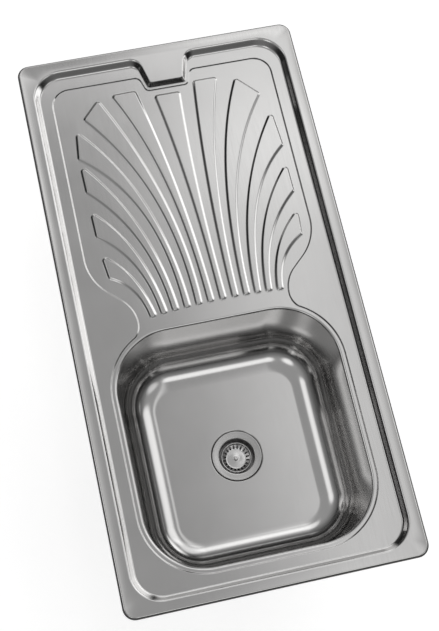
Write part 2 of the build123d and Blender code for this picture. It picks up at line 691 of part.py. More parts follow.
for number, (x, y, outward) in enumerate(CLIP_PLACES, start=1):
    seat = Plane((x, y, DECK_UNDER_Z), x_dir=outward, z_dir=(0, 0, 1))
    profile_plane = Plane(seat.origin, x_dir=seat.x_dir, z_dir=-seat.y_dir)

    with BuildPart() as clip_bracket:
        with BuildSketch(profile_plane):
            with BuildLine():
                Polyline(
                    (-BRACKET_HALF_WIDTH, 0),
                    (BRACKET_HALF_WIDTH, 0),
                    (BRACKET_HALF_WIDTH, -BRACKET_HEIGHT),
                    (-BRACKET_HALF_WIDTH, -BRACKET_HEIGHT),
                    (-BRACKET_HALF_WIDTH, BRACKET_STEEL - BRACKET_HEIGHT),
                    (BRACKET_HALF_WIDTH - BRACKET_STEEL, BRACKET_STEEL - BRACKET_HEIGHT),
                    (BRACKET_HALF_WIDTH - BRACKET_STEEL, -BRACKET_STEEL),
                    (-BRACKET_HALF_WIDTH, -BRACKET_STEEL),
                    close=True,
                )
            make_face()
        extrude(amount=BRACKET_LENGTH / 2, both=True)
        with BuildSketch(seat.offset(-BRACKET_HEIGHT)):
            Circle(SHELF_HOLE_R)
        extrude(amount=BRACKET_STEEL, mode=Mode.SUBTRACT)
        bends = clip_bracket.edges().filter_by(Axis(seat.origin, seat.y_dir))
        fillet(bends.group_by(Axis(seat.origin, seat.x_dir))[-1], radius=BRACKET_BEND)
    clip_bracket.part.label = f"clip_bracket_{number}"
    export_step(clip_bracket.part, f"parts/clip_bracket_{number}.step")

    with BuildPart() as clip_nut:
        with BuildSketch(seat.offset(BRACKET_STEEL - BRACKET_HEIGHT)):
            Rectangle(2 * NUT_HALF, 2 * NUT_HALF)
        extrude(amount=NUT_HEIGHT)
        chamfer(clip_nut.edges().group_by(Axis.Z)[-1], length=NUT_CHAMFER)
        with BuildSketch(seat.offset(BRACKET_STEEL - BRACKET_HEIGHT)):
            Circle(NUT_BORE_R)
        extrude(amount=NUT_HEIGHT, mode=Mode.SUBTRACT)
    clip_nut.part.label = f"clip_nut_{number}"
    export_step(clip_nut.part, f"parts/clip_nut_{number}.step")

    with BuildPart() as clip_screw:
        with BuildSketch(seat.offset(-CLIP_HEAD_SEAT)):
            Circle(CLIP_SCREW_R)
        extrude(amount=CLIP_HEAD_SEAT - CLIP_SCREW_TIP)
        chamfer(clip_screw.edges().group_by(Axis.Z)[-1], length=TIP_CHAMFER)
        with BuildSketch(seat.offset(-CLIP_HEAD_SEAT)):
            Circle(CLIP_SCREW_HEAD_R)
        extrude(amount=-CLIP_SCREW_HEAD)
        chamfer(clip_screw.edges().group_by(Axis.Z)[0], length=TIP_CHAMFER)
        with BuildSketch(seat.offset(-CLIP_HEAD_SEAT - CLIP_SCREW_HEAD)):
            Rectangle(2 * CLIP_SCREW_HEAD_R, CLIP_SLOT_WIDTH)
        extrude(amount=CLIP_SLOT_DEPTH, mode=Mode.SUBTRACT)
    clip_screw.part.label = f"clip_screw_{number}"
    export_step(clip_screw.part, f"parts/clip_screw_{number}.step")

    along = Plane(seat.origin, x_dir=seat.y_dir, z_dir=seat.z_dir)
    claw_profile = Plane(seat.origin, x_dir=along.x_dir, z_dir=-along.y_dir)
    with BuildPart() as clip_claw:
        with BuildSketch(claw_profile):
            with BuildLine():
                Polyline(
                    (-CLAW_HEEL, CLAW_LEVEL),
                    (CLAW_REACH, CLAW_LEVEL),
                    (CLAW_REACH, CLAW_LEVEL + CLAW_STEEL + CLAW_TOOTH_HEIGHT),
                    (CLAW_REACH - CLAW_STEEL, CLAW_LEVEL + CLAW_STEEL + CLAW_TOOTH_HEIGHT),
                    (CLAW_REACH - CLAW_STEEL, CLAW_LEVEL + CLAW_STEEL),
                    (CLAW_STEEL - CLAW_HEEL, CLAW_LEVEL + CLAW_STEEL),
                    (CLAW_STEEL - CLAW_HEEL, CLAW_LEVEL + CLAW_STEEL + CLAW_HEEL_HEIGHT),
                    (-CLAW_HEEL, CLAW_LEVEL + CLAW_STEEL + CLAW_HEEL_HEIGHT),
                    close=True,
                )
            make_face()
        extrude(amount=CLAW_WIDTH / 2, both=True)
        with BuildSketch(along.offset(CLAW_LEVEL)):
            Circle(NUT_BORE_R)
        extrude(amount=CLAW_STEEL, mode=Mode.SUBTRACT)
        tooth_plane = Plane(
            along.from_local_coords((CLAW_REACH, 0, CLAW_LEVEL + CLAW_STEEL + CLAW_TOOTH_HEIGHT)),
            x_dir=along.y_dir,
            z_dir=along.x_dir,
        )
        with BuildSketch(tooth_plane):
            with GridLocations(CLAW_WIDTH / 3, 1, 2, 1):
                RegularPolygon(2 * CLAW_NOTCH_R, 4, rotation=0)
        extrude(amount=-CLAW_STEEL, mode=Mode.SUBTRACT)
    clip_claw.part.label = f"clip_claw_{number}"
    export_step(clip_claw.part, f"parts/clip_claw_{number}.step")
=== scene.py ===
from math import acos, asin, atan2, cos, hypot, pi, radians, sin, sqrt, tan

import bmesh
import bpy
import numpy as np
from mathutils import Matrix, Vector
from mathutils.geometry import delaunay_2d_cdt


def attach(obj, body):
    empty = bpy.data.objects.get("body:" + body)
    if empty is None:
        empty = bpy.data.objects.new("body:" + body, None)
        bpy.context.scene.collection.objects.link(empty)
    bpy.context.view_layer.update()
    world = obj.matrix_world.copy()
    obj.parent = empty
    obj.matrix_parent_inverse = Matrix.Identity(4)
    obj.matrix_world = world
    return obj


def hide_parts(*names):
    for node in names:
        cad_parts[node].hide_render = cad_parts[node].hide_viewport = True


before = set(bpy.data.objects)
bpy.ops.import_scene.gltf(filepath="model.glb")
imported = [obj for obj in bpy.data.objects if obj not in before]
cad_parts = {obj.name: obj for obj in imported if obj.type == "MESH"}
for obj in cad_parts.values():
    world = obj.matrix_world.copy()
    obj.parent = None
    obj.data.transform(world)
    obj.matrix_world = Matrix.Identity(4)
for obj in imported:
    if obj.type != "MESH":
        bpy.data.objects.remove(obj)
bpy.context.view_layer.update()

UP = np.array([0.0, 0.0, 1.0])
MM = 0.001

# ---------------- dimensions (mm), as in the solids
SHEET = 0.8
WIDTH, LENGTH, RIM_R, ROLL_R = 435.0, 860.0, 18.0, 4.0
RIM_Z, DECK_Z, FLOOR_Z, RIB_Z = 5.0, -4.0, -6.0, -3.5
TAB_X = 7.0
UPPER = dict(half=200.5, far=413.0, near=-414.5, corner=46.0, tip_y=367.0, tip=24.5, root=35.0,
             tip_r=3.0, root_r=22.0)
LOWER = dict(half=190.0, far=400.0, near=-405.0, corner=37.0, tip_y=360.0, tip=30.5, root=41.5,
             tip_r=6.0, root_r=13.0)
SLOPE_RUN = 2.5
BOWL_Y, BOWL_W, BOWL_L, BOWL_R = -206.0, 330.0, 351.0, 88.0
BOWL_EDGE_R, BOWL_FLANGE, DRAFT, BOWL_FLOOR_R, BOWL_Z = 4.0, 5.5, radians(5.5), 48.0, -150.0
LEDGE = 9.5
DISH_R, DISH_RUN = 41.0, 3.4                      # a softer slope than the solids' straight one
DISH_DEPTH, WASTE_HOLE_R = 2.0, 30.0
# the drainboard's recess: its far edge, the notch for the tap ledge and the neck down to the bowl
RECESS_FAR, RECESS_HALF, RECESS_R = 383.5, 174.5, 29
NOTCH_ROOT, NOTCH_TIP, NOTCH_TIP_Y, NOTCH_ROOT_R, NOTCH_TIP_R = 39.5, 32.0, 358.5, 12, 7
NECK_Y, SHOULDER_R, NECK_TURN, NECK_RUN, HOLLOW_R, TIP_R, BLEND_R = 100.0, 80, radians(47), 24, 51, 30, 8.0
RIB_FLANK, RIB_CAP_R = 4.8, 4.0
RIB_END_Y, RIB_END_SAG, RIB_END_MIDDLE, RIB_END_HALF = 3.2, 0.145, 7, 4.4
RIBS = [
    ((-142.5, 64.0), (-104.0, 46.0), -91.0, (-103.0, 72.5), (-147.0, 101.0)),
    ((-148.5, 132.5), (-88.5, 88.0), -74.0, (-86.0, 114.5), (-149.5, 174.0)),
    ((-149.5, 206.0), (-70.5, 128.0), -56.5, (-65.0, 147.0), (-150.5, 253.0)),
    ((-151.0, 262.5), (-47.0, 179.0), -38.5, (-45.0, 194.0), (-146.0, 309.0)),
    ((-130.5, 327.0), (-25.0, 194.0), -20.5, (-16.5, 174.5), (-103.5, 355.5)),
    ((-81.0, 359.5), (-12.0, 216.0), -2.5, (-6.5, 190.5), (-43.5, 360.0)),
    ((-15.0, 346.5), (9.5, 194.0), 16.0, (12.5, 185.0), (24.0, 346.5)),
    ((49.5, 360.5), (28.5, 179.5), 34.5, (36.5, 205.0), (86.0, 360.5)),
    ((114.5, 353.5), (50.0, 225.0), 52.0, (55.5, 200.0), (146.5, 320.0)),
    ((157.0, 287.0), (69.0, 162.5), 69.0, (84.0, 165.5), (161.5, 227.0)),
    ((159.5, 195.0), (89.0, 117.5), 86.0, (96.5, 94.0), (160.0, 148.5)),
    ((158.0, 116.5), (106.0, 73.0), 103.0, (112.0, 53.5), (155.5, 77.0)),
]


# ---------------- plane geometry
def unit(v):
    v = np.asarray(v, float)
    return v / max(np.linalg.norm(v), 1e-12)


def fillet_loop(corners, radii, arc_steps=10):
    """A closed loop of straight sides and round corners, with the same point count for any radii."""
    n = len(corners)
    points = []
    for i in range(n):
        p = np.array(corners[i], float)
        back, ahead = unit(np.array(corners[i - 1]) - p), unit(np.array(corners[(i + 1) % n]) - p)
        half = acos(float(np.clip(back @ ahead, -1, 1))) / 2
        r = radii[i]
        centre = p + unit(back + ahead) * r / sin(half)
        start, end = p + back * r / tan(half), p + ahead * r / tan(half)
        a0, a1 = atan2(*(start - centre)[::-1]), atan2(*(end - centre)[::-1])
        sweep = (a1 - a0 + pi) % (2 * pi) - pi
        for k in range(arc_steps + 1):
            a = a0 + sweep * k / arc_steps
            points.append(centre + r * np.array([cos(a), sin(a)]))
    return np.array(points)


def step_loop(s):
    corners = [(-s["half"], s["near"]), (s["half"], s["near"]), (s["half"], s["far"]),
               (TAB_X + s["root"], s["far"]), (TAB_X + s["tip"], s["tip_y"]),
               (TAB_X - s["tip"], s["tip_y"]), (TAB_X - s["root"], s["far"]), (-s["half"], s["far"])]
    radii = [s["corner"]] * 3 + [s["root_r"], s["tip_r"], s["tip_r"], s["root_r"], s["corner"]]
    return fillet_loop(corners, radii, 16)


def rounded_rect(w, l, r, cy=0.0, arc_steps=24, side_steps=1):
    """Counter-clockwise rounded rectangle round (0, cy), its long sides cut into side_steps."""
    hw, hl = w / 2, l / 2
    out = []
    for cx, cyy, a0 in ((hw - r, hl - r, 0), (-hw + r, hl - r, 90), (-hw + r, -hl + r, 180),
                        (hw - r, -hl + r, 270)):
        for k in range(arc_steps + 1):
            a = radians(a0 + 90 * k / arc_steps)
            out.append((cx + r * cos(a), cy + cyy + r * sin(a)))
    out = np.array(out)
    if side_steps < 2:
        return out
    full = []
    for i, p in enumerate(out):
        q = out[(i + 1) % len(out)]
        full.append(p)
        if (i + 1) % (arc_steps + 1) == 0:
            full.extend(p + (q - p) * k / side_steps for k in range(1, side_steps))
    return np.array(full)


def arc_points(centre, r, a0, a1, steps):
    t = np.linspace(a0, a1, steps + 1)
    return np.column_stack([centre[0] + r * np.cos(t), centre[1] + r * np.sin(t)])


def ring_points(r, count=48, cy=BOWL_Y):
    t = np.linspace(0, 2 * pi, count, endpoint=False)
    return np.column_stack([r * np.cos(t), cy + r * np.sin(t)])


def recess_loops():
    """The recess outline and the same loop moved inwards by the run of its slope."""
    ring_r, ring_c = BOWL_R + LEDGE, np.array([BOWL_W / 2 - BOWL_R, BOWL_Y + BOWL_L / 2 - BOWL_R])
    chain = []                                    # the right side's arcs, as (points, inward normals)

    def arc(c, r, a0, a1, steps, side):
        t = np.linspace(a0, a1, steps + 1)
        n = np.column_stack([np.cos(t), np.sin(t)])
        chain.append((np.array(c) + r * n, side * n))

    arc((RECESS_HALF - RECESS_R, RECESS_FAR - RECESS_R), RECESS_R, pi / 2, 0, 12, -1)
    outwards = np.array([cos(NECK_TURN), -sin(NECK_TURN)])
    c1 = np.array([RECESS_HALF - SHOULDER_R, NECK_Y])
    arc(c1, SHOULDER_R, 0, -NECK_TURN, 20, -1)
    q = c1 + SHOULDER_R * outwards + NECK_RUN * np.array([-sin(NECK_TURN), -cos(NECK_TURN)])
    c2 = q + HOLLOW_R * outwards
    arc(c2, HOLLOW_R, pi - NECK_TURN, pi, 14, 1)
    c3 = c2 + np.array([TIP_R - HOLLOW_R, 0.0])
    # the blend between the tongue's tip and the ledge round the bowl
    ra, rb = TIP_R - BLEND_R, ring_r + BLEND_R
    gap = ring_c - c3
    dist = np.linalg.norm(gap)
    x = (dist ** 2 + ra ** 2 - rb ** 2) / (2 * dist)
    h = sqrt(max(ra ** 2 - x ** 2, 0))
    e = gap / dist
    options = [c3 + e * x + s * h * np.array([-e[1], e[0]]) for s in (1, -1)]
    cb = min(options, key=lambda o: o[0])
    a_tip = atan2(*(cb - c3)[::-1]) % (2 * pi)
    arc(c3, TIP_R, pi, a_tip, 12, 1)
    a_ring = atan2(*(cb - ring_c)[::-1])
    arc(cb, BLEND_R, a_tip, a_ring + pi, 5, 1)
    arc(ring_c, ring_r, a_ring, 0, 20, -1)
    low_c = np.array([BOWL_W / 2 - BOWL_R, BOWL_Y - BOWL_L / 2 + BOWL_R])
    arc(low_c, ring_r, 0, -pi / 2, 20, -1)
    right_p = np.vstack([c[0] for c in chain])
    right_n = np.vstack([c[1] for c in chain])
    left_p, left_n = (right_p * [-1, 1])[::-1], (right_n * [-1, 1])[::-1]
    # the notch for the tap ledge, from left to right along the top
    corners = [(TAB_X - NOTCH_ROOT, RECESS_FAR), (TAB_X - NOTCH_TIP, NOTCH_TIP_Y),
               (TAB_X + NOTCH_TIP, NOTCH_TIP_Y), (TAB_X + NOTCH_ROOT, RECESS_FAR)]
    aside, per_corner = 200, 10
    box = [(-aside, RECESS_FAR)] + corners + [(aside, RECESS_FAR), (aside, 0), (-aside, 0)]
    radii = [1, NOTCH_ROOT_R, NOTCH_TIP_R, NOTCH_TIP_R, NOTCH_ROOT_R, 1, 1, 1]
    notch = fillet_loop(box, radii, per_corner - 1)[per_corner:5 * per_corner]
    tangent = np.gradient(notch, axis=0)
    tangent /= np.linalg.norm(tangent, axis=1)[:, None]
    notch_n = np.column_stack([tangent[:, 1], -tangent[:, 0]])
    for i in range(4):                            # exact normals on the arcs
        seg = slice(i * per_corner, (i + 1) * per_corner)
        pts = notch[seg]
        a, b, c = pts[0], pts[5], pts[-1]
        m = np.array([b - a, c - a]) * 2
        centre = np.linalg.solve(m, np.array([b @ b - a @ a, c @ c - a @ a]))
        n = pts - centre
        n /= np.linalg.norm(n, axis=1)[:, None]
        if (n[0] @ notch_n[seg][1]) < 0:
            n = -n
        notch_n[seg] = n
    points = np.vstack([notch, right_p, left_p])
    normals = np.vstack([notch_n, right_n, left_n])
    keep = [i for i in range(len(points)) if np.linalg.norm(points[i] - points[i - 1]) > 1e-6]
    return points[keep], points[keep] + normals[keep] * SLOPE_RUN


def bezier(a, b, c, t):
    t = np.asarray(t)[:, None]
    return a * (1 - t) ** 2 + b * 2 * t * (1 - t) + c * t ** 2


def rib_loop(index, grow, steps=30, cap_steps=7, end_steps=10):
    """One rib's outline, counter-clockwise from its left flank's foot round the bowl end."""
    left_corner, left_bend, fx, right_bend, right_corner = RIBS[index]
    fy = RIB_END_Y - RIB_END_SAG * (index - RIB_END_MIDDLE) ** 2
    lc, rc = np.array(left_corner), np.array(right_corner)
    run = rc - lc
    cap_n = unit([-run[1], run[0]])

    def grown(p, n1, n2):
        return p + (n1 + n2) / (1 + n1 @ n2) * grow

    def flank(foot, bend, corner, side):
        n1 = unit([side * (bend - foot)[1], -side * (bend - foot)[0]])
        cr = corner - bend
        n2 = unit([side * cr[1], -side * cr[0]])
        return foot + np.array([side * grow, 0]), grown(bend, n1, n2), grown(corner, n2, cap_n), side

    ends = [flank(np.array([fx - RIB_END_HALF, fy]), np.array(left_bend), lc, -1),
            flank(np.array([fx + RIB_END_HALF, fy]), np.array(right_bend), rc, 1)]
    r = RIB_CAP_R + grow
    cap_point = ends[0][2]
    sides = []
    for a, b, c, side in ends:
        lo, hi = 0.5, 1.0
        for _ in range(40):                       # where the corner's arc leaves the flank
            t = (lo + hi) / 2
            p = bezier(a, b, c, [t])[0]
            d = unit(2 * (1 - t) * (b - a) + 2 * t * (c - b))
            centre = p - side * np.array([d[1], -d[0]]) * r
            if (cap_point - centre) @ cap_n > r:
                lo = t
            else:
                hi = t
        touch = centre + cap_n * r
        a0, a1 = atan2(*(p - centre)[::-1]), atan2(*(touch - centre)[::-1])
        sweep = (a1 - a0 + pi) % (2 * pi) - pi
        arc = arc_points(centre, r, a0, a0 + sweep, cap_steps)
        sides.append((bezier(a, b, c, np.linspace(0, t, steps)), arc))
    (left, left_arc), (right, right_arc) = sides
    end = arc_points((fx, fy), RIB_END_HALF + grow, pi, 2 * pi, end_steps)
    return np.vstack([end[:-1], right[:-1], right_arc, left_arc[::-1], left[::-1][1:-1]])


# ---------------- mesh building
def bridge(faces, a, b):
    """Adds the band of faces between two closed index loops with matching points."""
    n = len(a)
    faces.extend((a[i], a[(i + 1) % n], b[(i + 1) % n], b[i]) for i in range(n))


def two_sided(upper, lower, base):
    """The upper faces, and the lower ones turned over and numbered from base."""
    return list(upper) + [tuple(i + base for i in reversed(q)) for q in lower]


class Sheet:
    """Collects the vertices, normals and faces of a pressed surface, in millimetres."""

    def __init__(self):
        self.v, self.n, self.f = [], [], []

    def add_loop(self, xy, z, normals=None):
        start = sum(len(a) for a in self.v)
        z = np.full(len(xy), float(z)) if np.isscalar(z) else z
        self.v.append(np.column_stack([xy, z]))
        self.n.append(np.tile(UP, (len(xy), 1)) if normals is None else normals)
        return np.arange(start, start + len(xy))

    def strip(self, *loops):
        """Joins each loop to the next one."""
        for a, b in zip(loops, loops[1:]):
            bridge(self.f, a, b)

    def fill(self, outer, holes):
        """Fills a flat between index loops, seen from above."""
        allv = np.vstack(self.v)
        loops = [outer] + list(holes)
        ids = np.concatenate(loops)
        pts = allv[ids, :2]
        edges, at = [], 0
        for lp in loops:
            n = len(lp)
            edges += [(at + i, at + (i + 1) % n) for i in range(n)]
            at += n
        res = delaunay_2d_cdt([Vector(p) for p in pts], edges, [], 0, 1e-7)
        coords, faces, origin = res[0], res[2], res[3]
        back = [ids[o[0]] if o else None for o in origin]
        tri = np.array([t for t in faces if len(t) == 3])
        xy = np.array([tuple(c) for c in coords])
        mid = xy[tri].mean(1)
        inside = sum(in_polygon(mid, allv[lp, :2]) for lp in loops)
        for t, k in zip(tri, inside):
            if k == 1:
                ids3 = [back[i] for i in t]
                a, b, c = (allv[i, :2] for i in ids3)
                if (b[0] - a[0]) * (c[1] - a[1]) - (b[1] - a[1]) * (c[0] - a[0]) < 0:
                    ids3.reverse()
                self.f.append(tuple(ids3))

    def arrays(self):
        return np.vstack(self.v), np.vstack(self.n), self.f


def in_polygon(points, poly):
    x, y = points[:, 0], points[:, 1]
    inside = np.zeros(len(points), bool)
    q = np.roll(poly, 1, axis=0)
    for (x1, y1), (x2, y2) in zip(poly, q):
        cross = (y1 > y) != (y2 > y)
        with np.errstate(divide="ignore", invalid="ignore"):
            at = (x2 - x1) * (y - y1) / (y2 - y1) + x1
        inside ^= cross & (x < at)
    return inside.astype(int)


def grid_normals(rings):
    """Normals of a stack of closed rings, by central differences."""
    p = np.array(rings)
    along = np.roll(p, -1, axis=1) - np.roll(p, 1, axis=1)
    across = np.gradient(p, axis=0)
    n = np.cross(along, across)
    n /= np.maximum(np.linalg.norm(n, axis=2), 1e-12)[:, :, None]
    return n


def ramp(t, soft):
    """A slope from 0 to 1 that is straight in the middle and bends over soft of its run at each end."""
    k = 1 / (1 - soft)
    if t < soft:
        return k * t * t / (2 * soft)
    if t > 1 - soft:
        return 1 - k * (1 - t) ** 2 / (2 * soft)
    return k * (t - soft / 2)


def add_rings(sheet, rings):
    """Adds a slope through closed rings, level at its first and last one. Returns their index loops."""
    n = grid_normals(rings)
    if n[len(rings) // 2, 0, 2] < 0:
        n = -n
    n[0] = n[-1] = UP
    ids = [sheet.add_loop(r[:, :2], r[:, 2], m) for r, m in zip(rings, n)]
    sheet.strip(*ids)
    orient(sheet, ids)
    return ids


def slope_strip(sheet, high, low, z_high, z_low, steps, soft):
    """A pressed slope between two loops with matching points. Returns its edge index loops."""
    rings = []
    for k in range(steps + 1):
        t = k / steps
        xy = high + (low - high) * t
        rings.append(np.column_stack([xy, np.full(len(xy), z_high + (z_low - z_high) * ramp(t, soft))]))
    ids = add_rings(sheet, rings)
    return ids[0], ids[-1]


def orient(sheet, ids):
    """Turns the last strips' faces so that they look along their normals."""
    allv, alln = np.vstack(sheet.v), np.vstack(sheet.n)
    first = ids[0][0]
    for i in range(len(sheet.f) - 1, -1, -1):
        f = sheet.f[i]
        if min(f) < first:
            break
        a, b, c = allv[f[0]], allv[f[1]], allv[f[2]]
        if np.cross(b - a, c - a) @ (alln[f[0]] + alln[f[2]]) < 0:
            sheet.f[i] = tuple(reversed(f))


def to_object(name, v, f, n, material, body, replaces=()):
    """A smooth mesh object in metres from points in millimetres, with n as its vertex normals."""
    mesh = bpy.data.meshes.new(name)
    mesh.from_pydata([tuple(p) for p in np.asarray(v) * MM], [], [tuple(int(i) for i in q) for q in f])
    mesh.update()
    mesh.polygons.foreach_set("use_smooth", [True] * len(mesh.polygons))
    if n is not None:
        mesh.normals_split_custom_set_from_vertices([tuple(p) for p in n])
    obj = bpy.data.objects.new(name, mesh)
    bpy.context.scene.collection.objects.link(obj)
    mesh.materials.append(material)
    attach(obj, body)
    if replaces:
        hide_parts(*replaces)
    return obj


# ---------------- materials
def set_inputs(tree, node, inputs):
    """Links or sets a node's inputs, by name or number."""
    for port, value in inputs.items():
        if isinstance(value, bpy.types.NodeSocket):
            tree.links.new(value, node.inputs[port])
        else:
            node.inputs[port].default_value = value


def node_of(tree, kind, inputs, output, **settings):
    """Adds a shader node and returns one of its outputs."""
    node = tree.nodes.new("ShaderNode" + kind)
    for key, value in settings.items():
        setattr(node, key, value)
    set_inputs(tree, node, inputs)
    return node.outputs[output]


def vector_math(tree, operation, a, b=(0, 0, 0), output="Vector"):
    return node_of(tree, "VectorMath", {0: a, 1: b}, output, operation=operation)


def noise_of(tree, scale, detail, stretch=(1, 1, 1), rough=0.5):
    coords = node_of(tree, "TexCoord", {}, "Object")
    place = node_of(tree, "Mapping", {"Vector": coords, "Scale": stretch}, "Vector")
    inputs = {"Vector": place, "Scale": scale, "Detail": detail, "Roughness": rough}
    return node_of(tree, "TexNoise", inputs, "Fac")


def spread(tree, noise, low, high):
    """Spreads a noise, most of which lies between 0.3 and 0.7, over low to high."""
    inputs = {"Value": noise, "From Min": 0.3, "From Max": 0.7, "To Min": low, "To Max": high}
    return node_of(tree, "MapRange", inputs, "Result")


def tinted(tree, cloudy, color, tint):
    """A colour that drifts between a darker and a lighter tint with the clouds."""
    inputs = {"Factor": spread(tree, cloudy, 0, 1), "A": (*[c * (1 - tint) for c in color], 1),
              "B": (*[min(c * (1 + tint), 1) for c in color], 1)}
    return node_of(tree, "Mix", inputs, "Result", data_type="RGBA")


def bumped(tree, height, strength, distance):
    return node_of(tree, "Bump", {"Height": height, "Strength": strength, "Distance": distance}, "Normal")


def new_material(name):
    m = bpy.data.materials.new(name)
    m.use_nodes = True
    return m, m.node_tree, m.node_tree.nodes["Principled BSDF"]


def metal(name, color, rough, wobble, brush, brush_scale, bump, cloud=12, tint=0.03):
    """Satin metal: cloudy roughness, and fine brushing along the long side of brush."""
    m, tree, bsdf = new_material(name)
    cloudy, fine = noise_of(tree, cloud, 4), noise_of(tree, brush_scale, 2, brush or (1, 1, 1), 0.6)
    both = {0: spread(tree, cloudy, rough - wobble / 2, rough + wobble / 2),
            1: spread(tree, fine, -wobble, wobble)}
    set_inputs(tree, bsdf, {"Base Color": tinted(tree, cloudy, color, tint), "Metallic": 1.0,
                            "Roughness": node_of(tree, "Math", both, "Value", operation="ADD"),
                            "Normal": bumped(tree, fine, bump, 0.0002)})
    return m


def matte(name, color, rough, grain, bump, tint=0.15, distance=0.0003):
    """Moulded or foamed stuff: cloudy tint, and grain in its roughness and its surface."""
    m, tree, bsdf = new_material(name)
    cloudy, fine = noise_of(tree, 25, 4), noise_of(tree, grain, 3)
    set_inputs(tree, bsdf, {"Base Color": tinted(tree, cloudy, color, tint),
                            "Roughness": spread(tree, fine, rough - 0.06, rough + 0.06),
                            "Normal": bumped(tree, fine, bump, distance)})
    return m


def add_turning(material, streak):
    """Fine concentric turning marks round the drain, with the streaky highlight that they give."""
    tree = material.node_tree
    coords = node_of(tree, "TexCoord", {}, "Object")
    from_axis = vector_math(tree, "SUBTRACT", coords, (0, BOWL_Y * MM, 0))
    flat = vector_math(tree, "MULTIPLY", from_axis, (1, 1, 0))
    inputs = {"W": vector_math(tree, "LENGTH", flat, output="Value"), "Scale": 2200, "Detail": 2}
    marks = node_of(tree, "TexNoise", inputs, "Fac", noise_dimensions="1D")
    around = vector_math(tree, "CROSS_PRODUCT", (0, 0, 1), flat)
    set_inputs(tree, tree.nodes["Principled BSDF"], {
        "Normal": bumped(tree, marks, 0.12, 0.00012), "Tangent": vector_math(tree, "NORMALIZE", around),
        "Anisotropic": streak})


STEEL = metal("sheet_steel", (0.58, 0.575, 0.57), 0.135, 0.02, (1, 0.03, 1), 700, 0.0015)
WASTE = metal("turned_steel", (0.56, 0.555, 0.55), 0.22, 0.03, None, 800, 0.02)
POLISHED = metal("polished_steel", (0.7, 0.695, 0.69), 0.17, 0.03, None, 600, 0.01)
# darker, rougher steel inside the waste's cup: the roughness is its unpolished finish, the darker colour is
# painted shade
CUP_FINISH_AND_SHADE = metal("rough_cup_and_shade", (0.3, 0.297, 0.294), 0.34, 0.04, None, 500, 0.03)
# near-black steel that paints the shade on the rim's rolled edge
PAINTED_EDGE_SHADE = metal("painted_edge_shade", (0.1, 0.099, 0.098), 0.4, 0.03, None, 500, 0.01)
ZINC = metal("zinc_steel", (0.6, 0.61, 0.63), 0.36, 0.08, None, 300, 0.08, cloud=160, tint=0.1)
SCREW = metal("plated_screw", (0.68, 0.66, 0.6), 0.3, 0.05, None, 400, 0.04, cloud=120)
BRASS = metal("insert_brass", (0.78, 0.58, 0.28), 0.3, 0.05, None, 500, 0.03)
PLASTIC = matte("waste_plastic", (0.8, 0.8, 0.78), 0.42, 500, 0.05, 0.02)
RUBBER = matte("black_rubber", (0.022, 0.022, 0.023), 0.62, 900, 0.1)
FOAM = matte("seal_foam", (0.06, 0.06, 0.064), 0.85, 1400, 0.5, distance=0.0006)
PAD = matte("damping_pad", (0.12, 0.12, 0.125), 0.8, 700, 0.4, distance=0.0005)
add_turning(WASTE, 0.85)
add_turning(POLISHED, 0.9)

# ---------------- the pressed deck
ROLL_STEPS = 8
RIM_FALL = radians(-4)                            # the rim's slight fall inwards, only in its normals
EDGE_SHADE_BAND = 2.4                                   # how far in from the rim's edge the painted shade reaches
deck = Sheet()


def rolled_edge(sheet, drop):
    """The flat rim's outer edge with its roll and skirt, for the upper or the lower face."""
    rings = []
    r = ROLL_R - drop
    for k in range(ROLL_STEPS + 1):
        a = pi / 2 * k / ROLL_STEPS
        inset = drop + r * (1 - sin(a))
        z = RIM_Z - drop - r * (1 - cos(a))
        xy = rounded_rect(WIDTH - 2 * inset, LENGTH - 2 * inset, RIM_R - inset, 0, 12)
        rings.append((xy, z, a))
    rings.append((rings[-1][0], 0.0, pi / 2))
    ids = []
    for xy, z, a in rings:
        plan = rounded_rect(2, 2, 1, 0, 12)
        n = np.column_stack([plan * sin(a), np.full(len(plan), cos(a))])
        n /= np.linalg.norm(n, axis=1)[:, None]
        ids.append(sheet.add_loop(xy, z, n))
    sheet.strip(*ids)
    orient(sheet, ids)
    return ids[0], ids[-1]


rim_in, skirt_top = rolled_edge(deck, 0.0)
crown = rounded_rect(2, 2, 1, 0, 12) * sin(RIM_FALL)
deck.n[0] = np.column_stack([crown, np.full(len(crown), cos(RIM_FALL))])
upper_high, upper_low = slope_strip(deck, step_loop(UPPER), step_loop(LOWER), RIM_Z, DECK_Z, 16, 0.3)
deck.fill(rim_in, [upper_high])
rec_out, rec_in = recess_loops()
recess_high, recess_low = slope_strip(deck, rec_out, rec_in, DECK_Z, FLOOR_Z, 8, 0.4)
deck.fill(upper_low, [recess_high])
rib_feet = []
for i in range(len(RIBS)):
    inner_loop, outer_loop = rib_loop(i, -RIB_FLANK / 2), rib_loop(i, RIB_FLANK / 2)
    top, foot = slope_strip(deck, inner_loop, outer_loop, RIB_Z, FLOOR_Z, 10, 0.25)
    deck.fill(top, [])
    rib_feet.append(foot)


ARC_STEPS, SIDE_STEPS, DRAIN_STEPS = 24, 12, 96


def bowl_loop(inset):
    return rounded_rect(BOWL_W - 2 * inset, BOWL_L - 2 * inset, BOWL_R - inset, BOWL_Y, ARC_STEPS,
                        SIDE_STEPS)


seam = deck.add_loop(bowl_loop(-BOWL_FLANGE), FLOOR_Z)
deck.fill(recess_low, [seam] + rib_feet)

v, n, f = deck.arrays()
